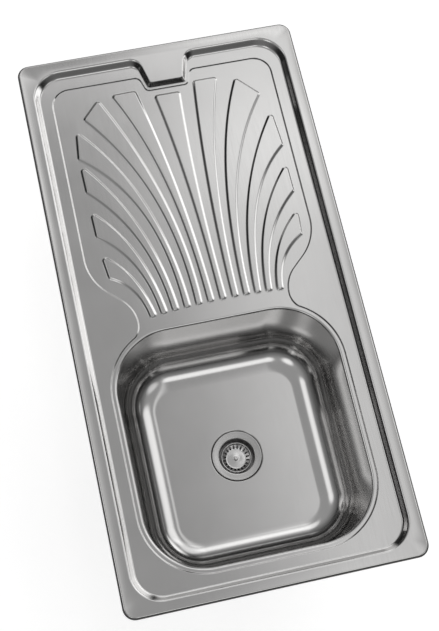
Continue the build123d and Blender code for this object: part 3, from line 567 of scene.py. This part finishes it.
# the sheet's lower face: the same shape one sheet thickness down, with the roll's inner face
under = Sheet()
_, skirt_low = rolled_edge(under, SHEET)
roll_v, roll_n, _ = under.arrays()
lower_v, lower_n = v - UP * SHEET, -n
lower_v[:len(roll_v)] = roll_v
lower_n[:len(roll_v)] = -roll_n
faces = two_sided(f, f, len(v))
bridge(faces, skirt_low + len(v), skirt_top)
DECK = to_object("pressed_deck", np.vstack([v, lower_v]), faces, np.vstack([n, lower_n]), STEEL, "sink",
                 ["sink_deck"])
DECK.data.materials.append(PAINTED_EDGE_SHADE)
for face in DECK.data.polygons:                   # the rolled edge gets a dark line round the rim: painted shade
    qx = max(abs(face.center.x) / MM - WIDTH / 2 + RIM_R, 0)
    qy = max(abs(face.center.y) / MM - LENGTH / 2 + RIM_R, 0)
    if RIM_R - hypot(qx, qy) < EDGE_SHADE_BAND:
        face.material_index = 1

# ---------------- the deep-drawn bowl
EDGE_STEPS, WALL_STEPS, FLOOR_STEPS = 10, 6, 24


def bowl_profile():
    """(inset, z, normal inwards, normal upwards) down the bowl's inner face."""
    out = [(-BOWL_FLANGE, FLOOR_Z, 0.0, 1.0)]
    reach = BOWL_EDGE_R * tan((pi / 2 - DRAFT) / 2)
    for k in range(EDGE_STEPS + 1):
        a = (pi / 2 - DRAFT) * k / EDGE_STEPS
        out.append((-reach + BOWL_EDGE_R * sin(a), FLOOR_Z - BOWL_EDGE_R + BOWL_EDGE_R * cos(a),
                    sin(a), cos(a)))
    depth = FLOOR_Z - BOWL_Z
    reach = BOWL_FLOOR_R * tan((pi / 2 - DRAFT) / 2)
    ci, cz = depth * tan(DRAFT) + reach, BOWL_Z + BOWL_FLOOR_R
    start = (ci - BOWL_FLOOR_R * cos(DRAFT), cz - BOWL_FLOOR_R * sin(DRAFT))
    last = out[-1]
    for k in range(1, WALL_STEPS):
        t = k / WALL_STEPS
        out.append((last[0] + (start[0] - last[0]) * t, last[1] + (start[1] - last[1]) * t, cos(DRAFT),
                    sin(DRAFT)))
    for k in range(FLOOR_STEPS + 1):
        a = DRAFT + (pi / 2 - DRAFT) * k / FLOOR_STEPS
        out.append((ci - BOWL_FLOOR_R * cos(a), cz - BOWL_FLOOR_R * sin(a), cos(a), sin(a)))
    return out


def bowl_surface(offset):
    """The bowl's inner face, or with an offset its outer one."""
    s = Sheet()
    ids = []
    facing = []                                   # which way each point of a loop faces, seen from above
    for q in range(4):
        facing += [radians(90 * q + 90 * k / ARC_STEPS) for k in range(ARC_STEPS + 1)]
        facing += [radians(90 * q + 90)] * (SIDE_STEPS - 1)
    dirs = np.column_stack([np.cos(facing), np.sin(facing)])
    for inset, z, ni, nz in bowl_profile():
        xy = bowl_loop(inset - offset * ni)
        n = np.column_stack([-dirs * ni, np.full(len(dirs), nz)])
        ids.append(s.add_loop(xy, z - offset * nz, n))
    s.strip(*ids)
    orient(s, ids)
    return s, ids


def bowl_floor(s, ids, drop):
    """The flat floor with the dish pressed for the waste, drop below the inner face. Returns the hole."""
    rings = []
    for k in range(9):
        t = k / 8
        ring = ring_points(DISH_R - DISH_RUN * t + drop / 2, DRAIN_STEPS)
        z = BOWL_Z - drop - DISH_DEPTH * ramp(t, 0.45)
        rings.append(np.column_stack([ring, np.full(DRAIN_STEPS, z)]))
    slope = add_rings(s, rings)
    s.fill(ids[-1], [slope[0]])
    hole = s.add_loop(ring_points(WASTE_HOLE_R, DRAIN_STEPS), BOWL_Z - drop - DISH_DEPTH)
    s.fill(slope[-1], [hole])
    return hole


inner, inner_ids = bowl_surface(0.0)
inner_hole = bowl_floor(inner, inner_ids, 0.0)
outer, outer_ids = bowl_surface(SHEET)
outer_hole = bowl_floor(outer, outer_ids, SHEET)
v, n, f = inner.arrays()
w, m, g = outer.arrays()
faces = two_sided(f, g, len(v))
bridge(faces, inner_hole, outer_hole + len(v))
to_object("drawn_bowl", np.vstack([v, w]), faces, np.vstack([n, -m]), STEEL, "sink", ["bowl"])


# ---------------- turned pieces
def lathe(name, profile, material, body, replaces, steps=96, sharp=32, closed=True):
    """Turns an (r, z) profile about the drain axis. closed joins its last point to its first."""
    pts = np.array(profile, float)
    a = np.linspace(0, 2 * pi, steps, endpoint=False)
    verts, rings = [], []
    for r, z in pts:
        if r < 1e-6:
            rings.append([len(verts)])
            verts.append((0, BOWL_Y, z))
        else:
            rings.append(list(range(len(verts), len(verts) + steps)))
            verts += [(r * cos(t), BOWL_Y + r * sin(t), z) for t in a]
    faces = []
    pairs = list(zip(rings, rings[1:])) + ([(rings[-1], rings[0])] if closed else [])
    for p, q in pairs:
        if len(p) == 1:
            faces.extend((p[0], q[(i + 1) % steps], q[i]) for i in range(steps))
        elif len(q) == 1:
            faces.extend((p[i], p[(i + 1) % steps], q[0]) for i in range(steps))
        else:
            bridge(faces, p, q)
    obj = to_object(name, np.array(verts), faces, None, material, body, replaces)
    fix_normals(obj, sharp)
    return obj


def fix_normals(obj, sharp=32):
    """Turns the faces outwards and shades them smooth, but for edges sharper than sharp degrees."""
    bm = bmesh.new()
    bm.from_mesh(obj.data)
    bmesh.ops.recalc_face_normals(bm, faces=bm.faces)
    bm.to_mesh(obj.data)
    bm.free()
    obj.data.polygons.foreach_set("use_smooth", [True] * len(obj.data.polygons))
    obj.data.set_sharp_from_angle(angle=radians(sharp))


def soften(profile, r, steps=3):
    """Rounds every corner of a closed (r, z) profile that doesn't lie on the axis."""
    out, n = [], len(profile)
    for i, p in enumerate(profile):
        p = np.array(p, float)
        a, b = np.array(profile[i - 1], float) - p, np.array(profile[(i + 1) % n], float) - p
        la, lb = np.linalg.norm(a), np.linalg.norm(b)
        turn = abs(pi - acos(float(np.clip(unit(a) @ unit(b), -1, 1))))
        if p[0] < 1e-6 or turn < 0.15:
            out.append(tuple(p))
            continue
        d = min(r * tan(turn / 2), la * 0.42, lb * 0.42)
        s, e = p + unit(a) * d, p + unit(b) * d
        for k in range(steps + 1):
            t = k / steps
            out.append(tuple(s * (1 - t) ** 2 + p * 2 * t * (1 - t) + e * t * t))
    return out


FT = BOWL_Z                                       # the strainer flange's top is level with the floor
flange_profile = [
    (27.5, FT - 26), (27.5, FT - 1.9), (27.65, FT - 1.2), (28.1, FT - 0.75), (28.9, FT - 0.5),
    (30.0, FT - 0.42), (33.5, FT - 0.28), (36.2, FT - 0.12), (36.9, FT - 0.02), (37.4, FT),
    (37.75, FT - 0.12), (37.95, FT - 0.4), (38.0, FT - 0.8), (37.9, FT - 1.1), (37.6, FT - 1.2),
    (28.5, FT - 1.2), (28.5, FT - 26.6), (28.1, FT - 27.0), (27.0, FT - 27.0), (14.0, FT - 27.0),
    (14.0, FT - 26.0),
]
FLANGE = lathe("strainer_flange_turned", flange_profile, WASTE, "sink", ["strainer_flange"],
               192)
FLANGE.data.materials.append(CUP_FINISH_AND_SHADE)
for face in FLANGE.data.polygons:                 # the drawn cup under the turned face is left unpolished, and darkened as painted shade
    if face.center.z < (FT - 1.3) * MM:
        face.material_index = 1


def spokes(arms, inner_r, outer_r, half, outer_steps=4, inner_steps=10):
    """The outline of a boss with arms that end on a circle."""
    out = []
    for k in range(arms):
        c, nxt = 2 * pi * k / arms, 2 * pi * (k + 1) / arms
        a_out, a_in = asin(half / outer_r), asin(half / inner_r)
        out += [(outer_r * cos(t), outer_r * sin(t)) for t in np.linspace(c - a_out, c + a_out, outer_steps)]
        out += [(inner_r * cos(t), inner_r * sin(t)) for t in np.linspace(c + a_in, nxt - a_in, inner_steps)]
    return np.array(out) + [0, BOWL_Y]


def extrude_loops(name, outer_pts, holes, z0, z1, material, body, bevel):
    """A flat plate with holes, its edges rounded."""
    s = Sheet()
    o = s.add_loop(outer_pts, z1)
    h = [s.add_loop(p, z1) for p in holes]
    s.fill(o, h)
    top_v, _, top_f = s.arrays()
    base = len(top_v)
    low = top_v.copy()
    low[:, 2] = z0
    faces = two_sided(top_f, top_f, base)
    for lp in [o] + h:
        bridge(faces, lp + base, lp)
    obj = to_object(name, np.vstack([top_v, low]), faces, None, material, body, ())
    fix_normals(obj)
    round_edges(obj, bevel, 35)


def round_edges(obj, bevel, angle):
    """Rounds the edges that are sharper than angle degrees."""
    mod = obj.modifiers.new("rounded_edges", "BEVEL")
    mod.width = bevel * MM
    mod.segments = 2
    mod.limit_method = "ANGLE"
    mod.angle_limit = radians(angle)


# the bottom of the cup: a boss on three arms, between three openings, darkened as painted shade
extrude_loops("cup_spider", spokes(3, 9.0, 14.0, 2.0, 5, 13), [ring_points(6.0)], FT - 27.0, FT - 26.0,
              CUP_FINISH_AND_SHADE, "sink", 0.2)

gasket = [(31.5, -152.0), (37.0, -152.0), (37.2, -151.6), (37.0, -151.2), (31.5, -151.2)]
lathe("flange_gasket_ring", soften(gasket, 0.15), RUBBER, "sink", ["flange_gasket"])
lower = [(31.5, -155.8), (37.0, -155.8), (37.35, -155.2), (37.35, -153.4), (37.0, -152.8), (31.5, -152.8)]
lathe("lower_gasket_ring", soften(lower, 0.4), RUBBER, "sink", ["lower_gasket"])

# ---------------- the waste under the bowl


def thread_grid(r_out, r_in, pitch, z0, z1, columns, rows_per_pitch, cy):
    """Vertices and faces of a threaded cylinder; the thread runs out over a pitch at both ends."""
    rows = int(round((z1 - z0) / pitch * rows_per_pitch))
    verts, faces = [], []
    for i in range(rows + 1):
        z = z0 + (z1 - z0) * i / rows
        full = min(max(min(z - z0, z1 - z) / pitch, 0.0), 1.0)
        for k in range(columns):
            a = 2 * pi * k / columns
            phase = ((z / pitch) - k / columns) % 1.0
            height = 1 - abs(2 * phase - 1)
            height = min(max((height - 0.12) / 0.76, 0), 1)
            r = r_in + (r_out - r_in) * height * full
            verts.append((r * cos(a), cy + r * sin(a), z))
    for i in range(rows):
        bridge(faces, range(i * columns, (i + 1) * columns), range((i + 1) * columns, (i + 2) * columns))
    return verts, faces, rows


def threaded(name, top, bottom, thread, material, replaces):
    """A turned piece with a real screw thread. top and bottom are (r, z) profiles that carry on from the
    thread, outwards end first, to where they meet or reach the axis."""
    verts, faces, rows = thread_grid(**thread, cy=BOWL_Y)
    columns = thread["columns"]
    low = list(range(columns))
    high = list(range(rows * columns, (rows + 1) * columns))
    t = np.linspace(0, 2 * pi, columns, endpoint=False)

    def carry(ring, profile):
        for r, z in profile:
            start = len(verts)
            if r < 1e-6:
                verts.append((0, BOWL_Y, z))
                faces.extend((ring[i], ring[(i + 1) % columns], start) for i in range(columns))
                return None
            verts.extend((r * cos(a), BOWL_Y + r * sin(a), z) for a in t)
            new = list(range(start, start + columns))
            bridge(faces, ring, new)
            ring = new
        return ring

    up, down = carry(high, top), carry(low, bottom)
    if up and down:
        bridge(faces, up, down)
    obj = to_object(name, np.array(verts), faces, None, material, "sink", replaces)
    fix_normals(obj, 50)


TAIL_THREAD = dict(r_out=23.9, r_in=22.6, pitch=2.309, z0=-231.0, z1=-206.4, columns=96, rows_per_pitch=10)
CENTRE_THREAD = dict(r_out=6.0, r_in=5.45, pitch=1.0, z0=-205.6, z1=-191.6, columns=64, rows_per_pitch=8)
CLIP_THREAD = dict(r_out=2.5, r_in=2.05, pitch=0.8, z0=0.0, z1=29.6, columns=24, rows_per_pitch=6)
body_top = [(23.95, -205.3), (24.3, -204.2), (33.2, -190.6), (33.5, -189.4)]
for z in np.arange(-187.6, -163.0, 5.2):          # shallow grooves round the body
    body_top += [(33.5, z - 1.0), (33.15, z - 0.6), (33.15, z + 0.6), (33.5, z + 1.0)]
body_top += [(33.5, -161.4), (34.1, -160.2), (37.0, -160.0), (37.4, -159.6), (37.5, -159.2), (37.5, -156.6),
             (37.3, -156.1), (36.9, -155.85), (30.2, -155.8), (29.7, -156.3), (29.6, -157.0), (29.6, -185.9),
             (19.6, -203.9)]
body_low = [(23.0, -231.6), (22.5, -232.0), (19.9, -232.0), (19.5, -231.5), (19.5, -204.3)]
threaded("waste_body_moulded", body_top, body_low, TAIL_THREAD, PLASTIC, ["waste_body"])
extrude_loops("waste_hub_webs", spokes(3, 11.0, 27.2, 1.5), [ring_points(8.5)], -196.0, -190.0,
              PLASTIC, "sink", 0.4)
collar = [(8.5, -204.0), (11.0, -204.0), (11.0, -195.8), (8.5, -195.8)]
lathe("waste_hub_collar", soften(collar, 0.4), PLASTIC, "sink", [], 64)
insert = [(6.02, -204.0), (8.5, -204.0), (8.5, -192.0), (6.02, -192.0)]
lathe("insert_knurled", soften(insert, 0.4), BRASS, "sink", ["screw_insert"], 64)

screw_top = [(6.0, -191.2), (6.0, -176.35), (6.3, -176.0), (7.6, -176.0), (7.95, -175.8), (8.0, -175.4),
             (8.0, -174.7), (7.75, -174.2), (7.2, -174.0), (6.4, -174.0), (6.1, -174.3), (5.9, -174.6),
             (4.9, -174.6), (4.6, -174.9), (4.6, -195.9), (0, -196.0)]
threaded("centre_screw_turned", screw_top, [(5.2, -206.0), (0, -206.0)], CENTRE_THREAD, POLISHED,
         ["centre_screw"])

# ---------------- the basket strainer
SLOT_COUNT, SLOT_LENGTH, SLOT_WIDTH, SLOT_CIRCLE_R = 20, 5.4, 2.8, 18.1
BASKET_STEEL = 0.7 * 0.98                         # just under the solids' 0.7 mm
SLOPE_IN, SLOPE_OUT, BASKET_Z, SLOPE_Z = 15.2, 21.1, -171.8, -168.2
SLOPE_TURN = atan2(SLOPE_Z - BASKET_Z, SLOPE_OUT - SLOPE_IN)


def slot_loop(angle, steps=7):
    r = SLOT_WIDTH / 2
    flat = SLOT_LENGTH / 2 - r
    pts = []
    for cx, a0 in ((flat, -pi / 2), (-flat, pi / 2)):
        for k in range(steps + 1):
            a = a0 + pi * k / steps
            pts.append((SLOT_CIRCLE_R + cx + r * cos(a), r * sin(a)))
    c, s = cos(angle), sin(angle)
    return np.array([(c * x - s * y, BOWL_Y + s * x + c * y) for x, y in pts])


def basket_mesh():
    """The pressed basket: a dished disc, a slotted slope and a wall with a curled lip."""
    s = Sheet()
    count = 160

    def ring(r, z, nr, nz):
        xy = ring_points(r, count)
        d = (xy - [0, BOWL_Y]) / r
        return s.add_loop(xy, z, np.column_stack([d * nr, np.full(count, nz)]))

    def height(xy):
        r = np.hypot(xy[:, 0], xy[:, 1] - BOWL_Y)
        return np.interp(r, [SLOPE_IN, SLOPE_OUT], [BASKET_Z, SLOPE_Z])

    def lean(xy):
        d = xy - [0, BOWL_Y]
        d /= np.linalg.norm(d, axis=1)[:, None]
        return np.column_stack([-d * sin(SLOPE_TURN), np.full(len(d), cos(SLOPE_TURN))])

    # the dished disc: a raised turned ring round the knob, then a fine step at its edge
    rings = [ring(r, z, nr, nz) for r, z, nr, nz in (
        (2.9, -171.5, 0, 1), (5.2, -171.5, 0, 1), (5.7, -171.62, 0.35, 0.94), (6.2, -171.75, 0, 1),
        (12.9, -171.75, 0, 1), (13.4, -171.8, 0.2, 0.98), (14.2, -171.8, 0, 1), (14.9, -171.76, -0.25, 0.97),
        (15.25, -171.62, -0.5, 0.86))]
    s.strip(*rings)
    slots = [slot_loop(2 * pi * k / SLOT_COUNT) for k in range(SLOT_COUNT)]
    outer_xy = ring_points(SLOPE_OUT - 0.1, count)
    slope_out = s.add_loop(outer_xy, height(outer_xy), lean(outer_xy))
    slot_ids = [s.add_loop(p, height(p), lean(p)) for p in slots]
    s.fill(slope_out, [rings[-1]] + slot_ids)
    wall = [ring(r, z, nr, nz) for r, z, nr, nz in (
        (21.35, -168.0, -0.8, 0.6), (21.5, -167.6, -0.95, 0.3), (21.55, -167.0, -1, 0.05),
        (21.7, -162.9, -1, 0.05), (21.8, -162.3, -0.9, 0.45), (22.05, -161.85, -0.6, 0.8),
        (22.4, -161.65, -0.2, 0.98), (22.8, -161.6, 0.1, 0.99), (23.2, -161.7, 0.5, 0.85),
        (23.5, -162.0, 0.85, 0.5), (23.6, -162.4, 1, 0), (23.55, -162.8, 0.9, -0.4))]
    s.strip(slope_out, *wall)
    v, n, f = s.arrays()
    faces = two_sided(f, f, len(v))
    for lp in slot_ids + [rings[0], wall[-1]]:
        bridge(faces, lp, lp + len(v))
    return np.vstack([v, v - n * BASKET_STEEL]), faces


basket_v, basket_f = basket_mesh()
BASKET = to_object("basket_pressed", basket_v, basket_f, None, POLISHED, "basket", ["basket_cup"])
fix_normals(BASKET, 40)

knob = [(0, -171.6), (3.15, -171.6), (3.2, -171.3), (2.95, -170.9), (2.45, -170.3), (2.22, -169.6),
        (2.22, -169.2), (2.5, -168.4), (3.0, -167.7), (3.2, -167.2), (3.2, -166.3), (3.1, -165.8),
        (2.8, -165.45), (2.3, -165.3), (1.4, -165.32), (0.9, -165.45), (0, -165.5)]
lathe("basket_knob_turned", knob, POLISHED, "basket", ["basket_knob"], 64, closed=False)
seal = [(2.8, -172.5), (15.1, -172.5), (16.2, -173.0), (17.3, -173.5), (17.5, -173.8), (17.5, -175.3),
        (17.2, -175.65), (16.4, -175.7), (14.9, -175.7), (14.5, -175.4), (13.5, -173.9), (13.2, -173.7),
        (2.8, -173.7)]
lathe("basket_seal_moulded", seal, RUBBER, "basket", ["basket_seal"])
stem = [(0, -192.0), (2.2, -192.0), (2.6, -191.8), (2.8, -191.4), (2.8, -184.6), (2.55, -184.4),
        (2.55, -184.1), (2.8, -183.9), (2.8, -172.45), (0, -172.45)]
lathe("basket_stem_turned", stem, POLISHED, "basket", ["basket_stem"], 48, closed=False)
o_ring = [(2.8 + 0.875 * (1 - cos(t)), -182.2 + 1.2 * sin(t))
          for t in np.linspace(0, 2 * pi, 20, endpoint=False)]
lathe("stem_o_ring", o_ring, RUBBER, "basket", ["stem_ring"], 48, sharp=80)

# ---------------- foam strip, pads, earth tag
foam = Sheet()
bead = [(4.5, 0.9), (4.6, 0.45), (4.95, 0.12), (5.6, 0.0), (8.5, -0.0), (11.4, 0.0), (12.05, 0.12),
        (12.4, 0.45), (12.5, 0.9), (12.5, 4.2), (4.5, 4.2)]
bead_ids = [foam.add_loop(rounded_rect(WIDTH - 2 * i, LENGTH - 2 * i, RIM_R - i, 0, 10, 40), z)
            for i, z in bead]
foam.strip(*bead_ids, bead_ids[0])
foam_v, _, foam_f = foam.arrays()
SEAL = to_object("rim_seal_foam", foam_v, foam_f, None, FOAM, "sink", ["rim_seal"])
fix_normals(SEAL, 50)

PAD_LENGTH, PAD_WIDTH, PAD_THICKNESS, PAD_R, PAD_OFFSET = 190, 56, 2.5, 10, 76
GROOVE_PITCH, GROOVE_W, GROOVE_L, GROOVE_DEPTH = 19.0, 5.0, 42.0, 0.7


def pad(name, node, cy):
    """A bitumen damping pad with soft edges and pressed-in grooves."""
    s = Sheet()
    top = BOWL_Z - SHEET
    low = top - PAD_THICKNESS
    loops = [(0.0, top), (0.0, low + 0.9), (0.15, low + 0.45), (0.5, low + 0.12), (1.0, low)]
    ids = [s.add_loop(rounded_rect(PAD_LENGTH - 2 * i, PAD_WIDTH - 2 * i, PAD_R - i, cy, 10), z)
           for i, z in loops]
    s.strip(*ids)
    grooves = []
    for k in range(-4, 5):
        x = GROOVE_PITCH * k
        outer_xy = rounded_rect(GROOVE_W, GROOVE_L, 2.4, cy, 6) + [x, 0]
        inner_xy = rounded_rect(GROOVE_W - 1.2, GROOVE_L - 1.2, 1.8, cy, 6) + [x, 0]
        a, b = s.add_loop(outer_xy, low), s.add_loop(inner_xy, low + GROOVE_DEPTH)
        s.strip(a, b)
        s.fill(b, [])
        grooves.append(a)
    s.fill(ids[-1], grooves)
    s.fill(ids[0], [])
    v, _, f = s.arrays()
    obj = to_object(name, v, f, None, PAD, "sink", [node])
    fix_normals(obj, 40)


pad("sound_pad_rear_moulded", "sound_pad_rear", BOWL_Y + PAD_OFFSET)
pad("sound_pad_front_moulded", "sound_pad_front", BOWL_Y - PAD_OFFSET)


def dress(nodes, material, bevel):
    """Gives CAD nodes their material and rounds their edges."""
    for name in nodes:
        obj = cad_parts[name]
        obj.data.materials.clear()
        obj.data.materials.append(material)
        weld = obj.modifiers.new("joined", "WELD")
        weld.merge_threshold = 1e-6
        round_edges(obj, bevel, 40)
        shade = obj.modifiers.new("shading", "WEIGHTED_NORMAL")
        shade.keep_sharp = False


CLIPS = range(1, 9)
dress(["earth_tag"], STEEL, 0.15)
dress([f"clip_bracket_{i}" for i in CLIPS], ZINC, 0.2)
dress([f"clip_nut_{i}" for i in CLIPS], ZINC, 0.25)
dress([f"clip_claw_{i}" for i in CLIPS], ZINC, 0.25)

# ---------------- the clip screws


def screw_mesh():
    """An M5 screw with a slotted cheese head, its head's seat at the origin, pointing up."""
    s = Sheet()
    face_r, face_z, half_slot, slot_z = 3.6, -3.2, 0.6, -1.6
    rings = [(2.75, 0.0), (4.2, 0.0), (4.42, -0.1), (4.5, -0.35), (4.5, -2.6), (4.35, -2.95), (4.0, -3.15),
             (face_r, face_z)]
    ids = [s.add_loop(ring_points(r, cy=0), z) for r, z in rings]
    s.strip(*ids)
    # the face is cut by a slot: two caps either side of it, two walls and its floor
    face = ids[-1]
    pts = ring_points(face_r, cy=0)
    high_side = [i for i, p in enumerate(pts) if p[1] >= half_slot]
    low_side = [i for i, p in enumerate(pts) if p[1] <= -half_slot]
    ends = [i for i, p in enumerate(pts) if abs(p[1]) < half_slot]
    right = sorted((i for i in ends if pts[i][0] > 0), key=lambda i: pts[i][1])
    left = sorted((i for i in ends if pts[i][0] < 0), key=lambda i: pts[i][1])
    x_end = sqrt(face_r ** 2 - half_slot ** 2)
    corners = {}
    for key, x, y in (("ru", x_end, half_slot), ("rl", x_end, -half_slot), ("lu", -x_end, half_slot),
                      ("ll", -x_end, -half_slot)):
        corners[key] = s.add_loop(np.array([(x, y)]), face_z)[0]
        corners[key + "d"] = s.add_loop(np.array([(x, y)]), slot_z)[0]
    s.f.append([corners["ru"]] + [face[i] for i in high_side] + [corners["lu"]])
    s.f.append([corners["ll"]] + [face[i] for i in low_side] + [corners["rl"]])
    for a, b in (("ru", "lu"), ("ll", "rl")):
        s.f.append([corners[a], corners[b], corners[b + "d"], corners[a + "d"]])
    s.f.append([corners["rud"], corners["lud"], corners["lld"], corners["rld"]])
    for side, up, dn in ((right, "ru", "rl"), (left, "lu", "ll")):
        s.f.append([corners[dn]] + [face[i] for i in side]
                   + [corners[up], corners[up + "d"], corners[dn + "d"]])
    hv, _, hf = s.arrays()
    shank_v, shank_f, rows = thread_grid(**CLIP_THREAD, cy=0)
    columns, tip_r, tip_z = CLIP_THREAD["columns"], 1.9, 30.3
    t = np.linspace(0, 2 * pi, columns, endpoint=False)
    shank_v += [(tip_r * cos(a), tip_r * sin(a), tip_z) for a in t]
    last = rows * columns
    tip = range(last + columns, last + 2 * columns)
    bridge(shank_f, range(last, last + columns), tip)
    shank_f.append(tuple(tip))
    base = len(hv)
    verts = np.vstack([hv, np.array(shank_v)])
    faces = [tuple(q) for q in hf] + [tuple(i + base for i in q) for q in shank_f]
    return verts, faces


SCREW_PLACES = [(182, 200), (182, -206), (110, -398), (-110, -398), (-182, -206), (-182, 200),
                (-110, 391.5), (110, 391.5)]
SCREW_SEAT_Z = -52.1
screw_v, screw_f = screw_mesh()
for i, (x, y) in enumerate(SCREW_PLACES, start=1):
    obj = to_object(f"clip_screw_threaded_{i}", screw_v + [x, y, SCREW_SEAT_Z], screw_f, None, SCREW,
                    f"screw_{i}", [f"clip_screw_{i}"])
    fix_normals(obj, 38)

# ---------------- floor, light and camera
FLOOR_LEVEL, FLOOR_HALF = -0.2345, 6              # metres; it lies just under the waste's tail
stage_mat, tree, bsdf = new_material("pale_floor")
set_inputs(tree, bsdf, {"Base Color": (0.8, 0.8, 0.8, 1), "Emission Color": (1, 1, 1, 1),
                        "Emission Strength": 0.62, "Roughness": 0.9, "Specular IOR Level": 0.1})
floor_mesh = bpy.data.meshes.new("floor")
corners = [(FLOOR_HALF * x, FLOOR_HALF * y, FLOOR_LEVEL) for x, y in ((-1, -1), (1, -1), (1, 1), (-1, 1))]
floor_mesh.from_pydata(corners, [], [(0, 1, 2, 3)])
floor = bpy.data.objects.new("floor", floor_mesh)
floor_mesh.materials.append(stage_mat)
bpy.context.scene.collection.objects.link(floor)

world = bpy.data.worlds.new("studio")
bpy.context.scene.world = world
world.use_nodes = True
sky = world.node_tree
sky.nodes.clear()
direction = node_of(sky, "TexCoord", {}, "Generated")


def lobe(axis, low, high, strength):
    """Light from round an axis, which fades from strength at a dot product of high to none at low."""
    dot = vector_math(sky, "DOT_PRODUCT", direction, tuple(Vector(axis).normalized()), "Value")
    inputs = {"Value": dot, "From Min": low, "From Max": high, "To Min": 0, "To Max": strength}
    return node_of(sky, "MapRange", inputs, "Result", interpolation_type="SMOOTHSTEP")


def combined(operation, a, b):
    return node_of(sky, "Math", {0: a, 1: b}, "Value", operation=operation)


def times(a, b):
    return combined("MULTIPLY", a, b)


def towards(azimuth, elevation):
    a, e = radians(azimuth), radians(elevation)
    return cos(a) * cos(e), sin(a) * cos(e), sin(e)


def panel(azimuth, elevation, inner, outer, strength):
    """A soft round panel: full strength inside the inner angle, none past the outer one."""
    return lobe(towards(azimuth, elevation), cos(radians(outer)), cos(radians(inner)), strength)


overhead = lobe((0, 0, 1), 0.5, 0.8, 1.0)
LOBES = [
    lobe((0, 0, 1), -0.3, 0.3, 0.03),  # faint room light
    lobe((0, 0, 1), 0.34, 0.56, 0.24),  # upper walls of the room
    lobe((0, 0, 1), 0.5, 0.8, 0.29),  # ceiling
    # brighter parts of the ceiling: a band right of the middle, and a patch on the right towards the far end
    times(times(overhead, lobe((1, 0.1, 0), 0.08, 0.22, 0.72)), lobe((-1, 0, 0), -0.3, -0.2, 1.0)),
    times(times(times(overhead, lobe((1, 0, 0), 0.06, 0.14, 1.0)), lobe((0, 1, 0), 0.33, 0.42, 0.5)),
          lobe((0, -1, 0), -0.47, -0.42, 1.0)),
    panel(24, 48, 8, 18, 1.2),  # row of lamps high on the right
    panel(58, 44, 5, 15, 1.0),
    panel(86, 52, 3, 11, 1.1),
    panel(-40, 46, 4, 14, 0.7),
    panel(160, 53, 4, 12, 1.2),  # lamps high on the left and near side
    panel(-132, 50, 4, 12, 1.3),
    panel(-82, 54, 4, 11, 1.3),
    panel(38, 9, 12, 28, 2.4),  # long panel low on the right
    panel(2, 8, 8, 22, 2.1),
    panel(84, 8, 6, 22, 1.8),  # low on the far side
]
light = LOBES[0]
for part in LOBES[1:]:
    light = combined("ADD", light, part)
shine = node_of(sky, "Background", {"Strength": light}, "Background")
set_inputs(sky, sky.nodes.new("ShaderNodeOutputWorld"), {"Surface": shine})

PHOTO_HEIGHT, F_PX = 631.0, 1307.97                # pixels
RVEC = np.array([2.80633, -0.29763, 0.12573])      # turn from the world to the camera, axis times angle
CAMERA_AT = Vector((-0.22413, -0.603, 1.81613))
angle = float(np.linalg.norm(RVEC))
to_camera = Matrix.Rotation(angle, 3, Vector(RVEC / angle))
look = to_camera.transposed() @ Matrix(((1, 0, 0), (0, -1, 0), (0, 0, -1)))
camera_data = bpy.data.cameras.new("camera")
camera_data.sensor_fit = "VERTICAL"
camera_data.sensor_height = 36.0
camera_data.lens = F_PX * camera_data.sensor_height / PHOTO_HEIGHT
camera_data.clip_start, camera_data.clip_end = 0.05, 30
camera = bpy.data.objects.new("camera", camera_data)
camera.matrix_world = Matrix.Translation(CAMERA_AT) @ look.to_4x4()
bpy.context.scene.collection.objects.link(camera)
bpy.context.scene.camera = camera
bpy.context.scene.view_settings.view_transform = "Standard"

bpy.context.view_layer.update()
